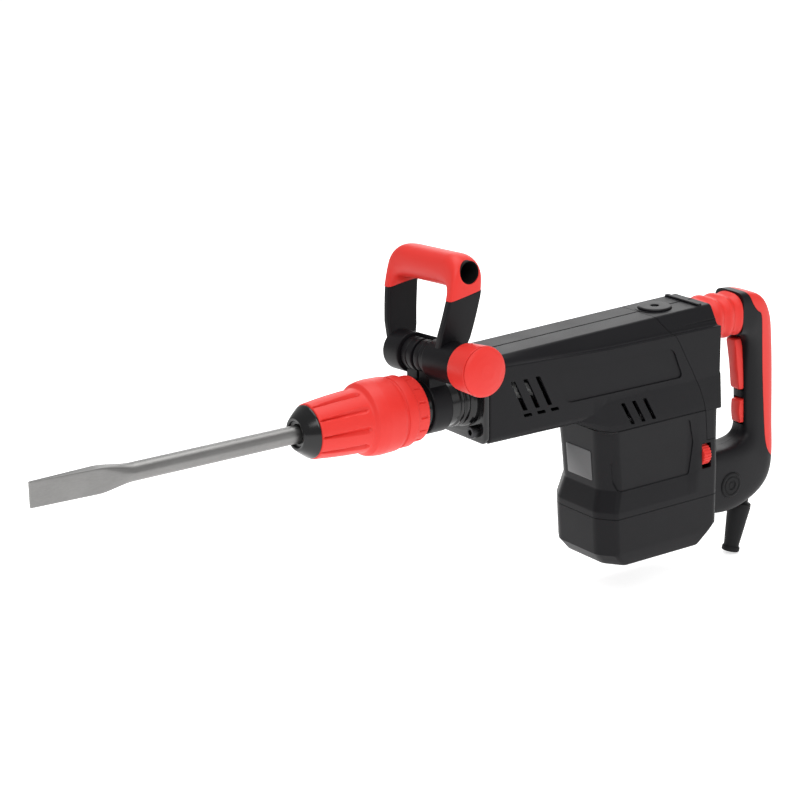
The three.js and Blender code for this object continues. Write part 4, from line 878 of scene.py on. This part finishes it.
def handleBody(name, grow=0.0):
    path = resampled(softened(rearRows, 3), 110)
    a = np.linspace(0, 2 * math.pi, 72, endpoint=False)
    power = path[:, 5:6]
    c1 = np.sign(np.cos(a)) * np.abs(np.cos(a)) ** power
    s1 = np.sign(np.sin(a)) * np.abs(np.sin(a)) ** power
    x = (path[:, 0:1] + path[:, 2:3]) / 2 + (path[:, 0:1] - path[:, 2:3]) / 2 * c1
    z = (path[:, 1:2] + path[:, 3:4]) / 2 + (path[:, 1:2] - path[:, 3:4]) / 2 * c1
    return solid(name, np.stack([x, (path[:, 4:5] + grow) * s1, z], -1))


def redRegion(name, grow):
    line = [[850, 76], [853.5, 44], [864, 29], [871, 26.5], [874, 6], [880, -37], [885.6, -100], [887.4, -127],
            [893, -140], [908, -151]]
    eased = softened(line, 2)
    outline = [[x - grow, z - grow] for x, z in eased] + [[940, -151 - grow], [940, 76]]
    return prism(name, outline, -60, 60)


bootAxis = np.array([-0.22, 0, -0.98])
bootTop = np.array([873.3, 0, -172.0])


def onBoot(points):  # distances run down the boot's slanted axis
    axis = bootAxis / np.linalg.norm(bootAxis)
    side = np.array([-axis[2], 0, axis[0]])
    p = np.asarray(points, float)
    return bootTop + p[..., 0:1] * axis + p[..., 1:2] * np.array([0, 1.0, 0]) + p[..., 2:3] * side


def makeHandle():
    full = handleBody("handleFull")
    red = carved(copied(full, "handleRed"), [redRegion("redKeep", 0.0)], "INTERSECT")
    slot = prism("triggerSlot", [[840, -1.5], [871, -1.5], [871, -64.5], [840, -64.5]], -7.6, 7.6)
    buttonSlot = prism("buttonSlot", [[840, -72], [871, -72], [871, -103.5], [840, -103.5]], -7.6, 7.6)
    cavity, cavity2 = (block(name, 866, 893, -9.5, 9.5, -108, 0) for name in ("switchSpace", "switchSpace2"))
    fork = prism("fork", [[780, -230], [846, -230], [846, -132], [780, -132]], -8, 8, cut=2)
    pin = turned("pinSpace", [[-60, 0], [-60, 6.3], [60, 6.3], [60, 0]], 0, "y", (832, 0, -163), 48)
    seats = [turned("capSeat", [[min(s * 20, s * 26), 0], [min(s * 20, s * 26), 14.7], [max(s * 20, s * 26), 14.7],
                                [max(s * 20, s * 26), 0]], 0, "y", (832, 0, -163)) for s in (-1, 1)]
    duct = turned("duct", [[-6, 0], [-6, 9.6], [60, 9.6], [60, 0]], 0, place=onBoot, segments=48)
    carved(full, [redRegion("redCut", 0.4), slot, buttonSlot, cavity, fork, pin, duct] + seats)
    nearHalf = carved(copied(full, "handleNear"), [block("nearKeep", 700, 950, -60, -0.15, -260, 90)], "INTERSECT")
    farHalf = carved(copied(full, "handleFar"), [block("farKeep", 700, 950, 0.15, 60, -260, 90)], "INTERSECT")
    bpy.data.objects.remove(full)
    installed(nearHalf, "handle", ["handle_shell_left"], "casing", sharp=36)
    installed(farHalf, "handle", ["handle_shell_right"], "casing", sharp=36)
    installed(carved(red, [cavity2]), "handle", ["handle_overmould"], "red_grip", sharp=36)
    for side, name in ((-1, "left"), (1, "right")):
        line = [[20.3, 0], [20.3, 14.4], [23.4, 14.4], [24.4, 13.2], [24.4, 11.2], [23.7, 10.8], [23.7, 9.4],
                [24.4, 9], [24.4, 5.6], [23.4, 5.2], [23.4, 3.4], [24, 3], [24, 0]]
        cap = turned(f"pivotCap_{name}", [[side * s, r] for s, r in line], 0.4, "y", (832, 0, -163))
        installed(cap, "handle", [f"pivot_cap_{name}"], "black_rubber")


def makeControls():
    paddle = [[846, -3], [848, -14], [851, -35], [855, -62], [862, -63], [865.5, -50], [865.5, -10], [860, -3]]
    rings = []
    for y, e in ((-7, 1.6), (-6.5, 0.7), (-5.4, 0.0), (5.4, 0.0), (6.5, 0.7), (7, 1.6)):
        line = rounded(paddle, [2.5, 3, 8, 2.5, 1, 1, 1, 1], 6)
        middle = np.array([858.5, -33.0])
        away = line - middle
        line = line - e * away / np.linalg.norm(away, axis=1, keepdims=True)
        rings.append(np.column_stack([line[:, 0], np.full(len(line), y), line[:, 1]]))
    installed(solid("triggerPaddle", np.stack(rings)), "trigger", ["trigger"], "red_grip", sharp=40)
    key = [[856.5, -75], [855.6, -88], [858, -101], [865.5, -101.5], [865.5, -74]]
    rings = []
    for y, e in ((-7, 1.4), (-6.5, 0.5), (-5.6, 0.0), (5.6, 0.0), (6.5, 0.5), (7, 1.4)):
        line = rounded(key, [1.6, 6, 1.6, 0.5, 0.5], 6)
        away = line - np.array([862.0, -88.0])
        line = line - e * away / np.linalg.norm(away, axis=1, keepdims=True)
        rings.append(np.column_stack([line[:, 0], np.full(len(line), y), line[:, 1]]))
    installed(solid("lockKey", np.stack(rings)), "button", ["lock_button"], "red_grip", sharp=40)

    def knurl(s, a, r):  # rounded teeth round the dial's rim
        return np.where(r > 10, r - 0.8 * np.clip(0.5 + 1.2 * np.cos(a * 22), 0, 1), r)

    dial = turned("speedWheel", [[-8, 0], [-8, 3], [-5, 3], [-5, 11.4], [-4.2, 12], [4.2, 12], [5, 11.4], [5, 3],
                                 [8, 3], [8, 0]], 0.3, "x", (770, -40.5, -109), 264, knurl, 3)
    installed(dial, "dial", ["speed_dial"], "red_grip")


def makeBoot():
    # a slim taper that ends in a bead
    line = [[4, 4.2], [4, 9], [25, 9], [25.2, 11.6], [26.4, 12.8], [31, 13], [45, 11.5], [60, 10], [73, 8.6],
            [75.4, 8.5], [76.6, 9.6], [78, 10], [81, 10], [82, 9], [82, 4.2]]
    installed(turned("cordBoot", line, 0.35, place=onBoot), "handle", ["cord_boot"], "black_rubber")


def makeBellows():
    # oval rings whose size falls and rises three times along the length
    t = np.linspace(0, 1, 61)
    swell = 1.7 + 1.7 * np.cos(2 * math.pi * t * 3)
    outer = np.stack([ovalRing(790.7 + 52 * u, 27 - 7 * u + 0.9 * w, 21.4 - 0.8 * u + 0.9 * w)
                      for u, w in zip(t, swell)])
    inner = np.stack([ovalRing(842.7 - 52 * u, 18.5 + 7.3 * u, 18.0 + 1.2 * u) for u in t[::6]])
    flex = solid("flexBellows", np.concatenate([outer, inner]), wrapRows=True, sharp=50)
    flex.data.materials.append(redGrip)
    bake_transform(flex)
    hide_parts("bellows")


springSet = dict(front=350.6, rear=374.0, radius=20.5, wire=1.4, turns=3.5, travel=8)


def makeSpring(c):
    # a round wire follows a helix from its front seat to its rear seat
    t = np.linspace(0, 1, 140)[:, None]
    a = 2 * math.pi * c["turns"] * t
    b = np.linspace(0, 2 * math.pi, 12, endpoint=False)[None, :]
    r = c["radius"] + c["wire"] * np.cos(b)
    x = c["front"] + c["wire"] + (c["rear"] - c["front"] - 2 * c["wire"]) * t + c["wire"] * np.sin(b)
    made = installed(solid("sleeveSpring", np.stack([x, r * np.cos(a), r * np.sin(a)], -1)), "holder",
                     ["sleeve_spring"], "steel")
    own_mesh(made)


makeHandle()
makeControls()
makeBoot()
makeBellows()
makeSpring(springSet)
print("rear handle")

# blank rating plate on the motor's front face, which leans back with height
plateSet = dict(front=631, slope=0.097, seam=-58, middle=-100.5, half=20, low=-117, high=-84)


def makePlate(c):
    half = c["half"]
    line = rounded([[-half, c["low"]], [half, c["low"]], [half, c["high"]], [-half, c["high"]]], 2, 5)
    rings = []
    for proud, scale in ((0.4, 1.0), (-0.45, 1.0), (-0.6, 0.985)):
        z = (line[:, 1] - c["middle"]) * scale + c["middle"]
        rings.append(np.column_stack([c["front"] + c["slope"] * (c["seam"] - z) + proud, line[:, 0] * scale, z]))
    installed(solid("ratingPlate", np.stack(rings)), "housing", [], "aluminium", greyPlate)


makePlate(plateSet)

# every carried-over node takes its slot's finish
for part in frame["record"]["subparts"]:
    node = frame["nodes"].get(part["node"])
    if node is None:
        continue
    node.data.materials.clear()
    node.data.materials.append(slotFinish[part["material_slot"]])

# floor
floorSet = dict(size=14.0, colour=(0.86, 0.86, 0.86), roughness=0.65, glow=0.62)


def makeFloor(f, low):
    half = f["size"] / 2
    mesh = bpy.data.meshes.new("studioFloor")
    mesh.from_pydata([(-half, -half, low), (half, -half, low), (half, half, low), (-half, half, low)], [],
                     [(0, 1, 2, 3)])
    floor = bpy.data.objects.new("studioFloor", mesh)
    bpy.context.collection.objects.link(floor)
    finish = Finish("paleFloor", Base_Color=(*f["colour"], 1), Roughness=f["roughness"],
                    Emission_Color=(1, 1, 1, 1), Emission_Strength=f["glow"])
    mesh.materials.append(finish.material)
    floor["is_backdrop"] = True


makeFloor(floorSet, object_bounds()[0][2] - 0.0005)
print("floor")
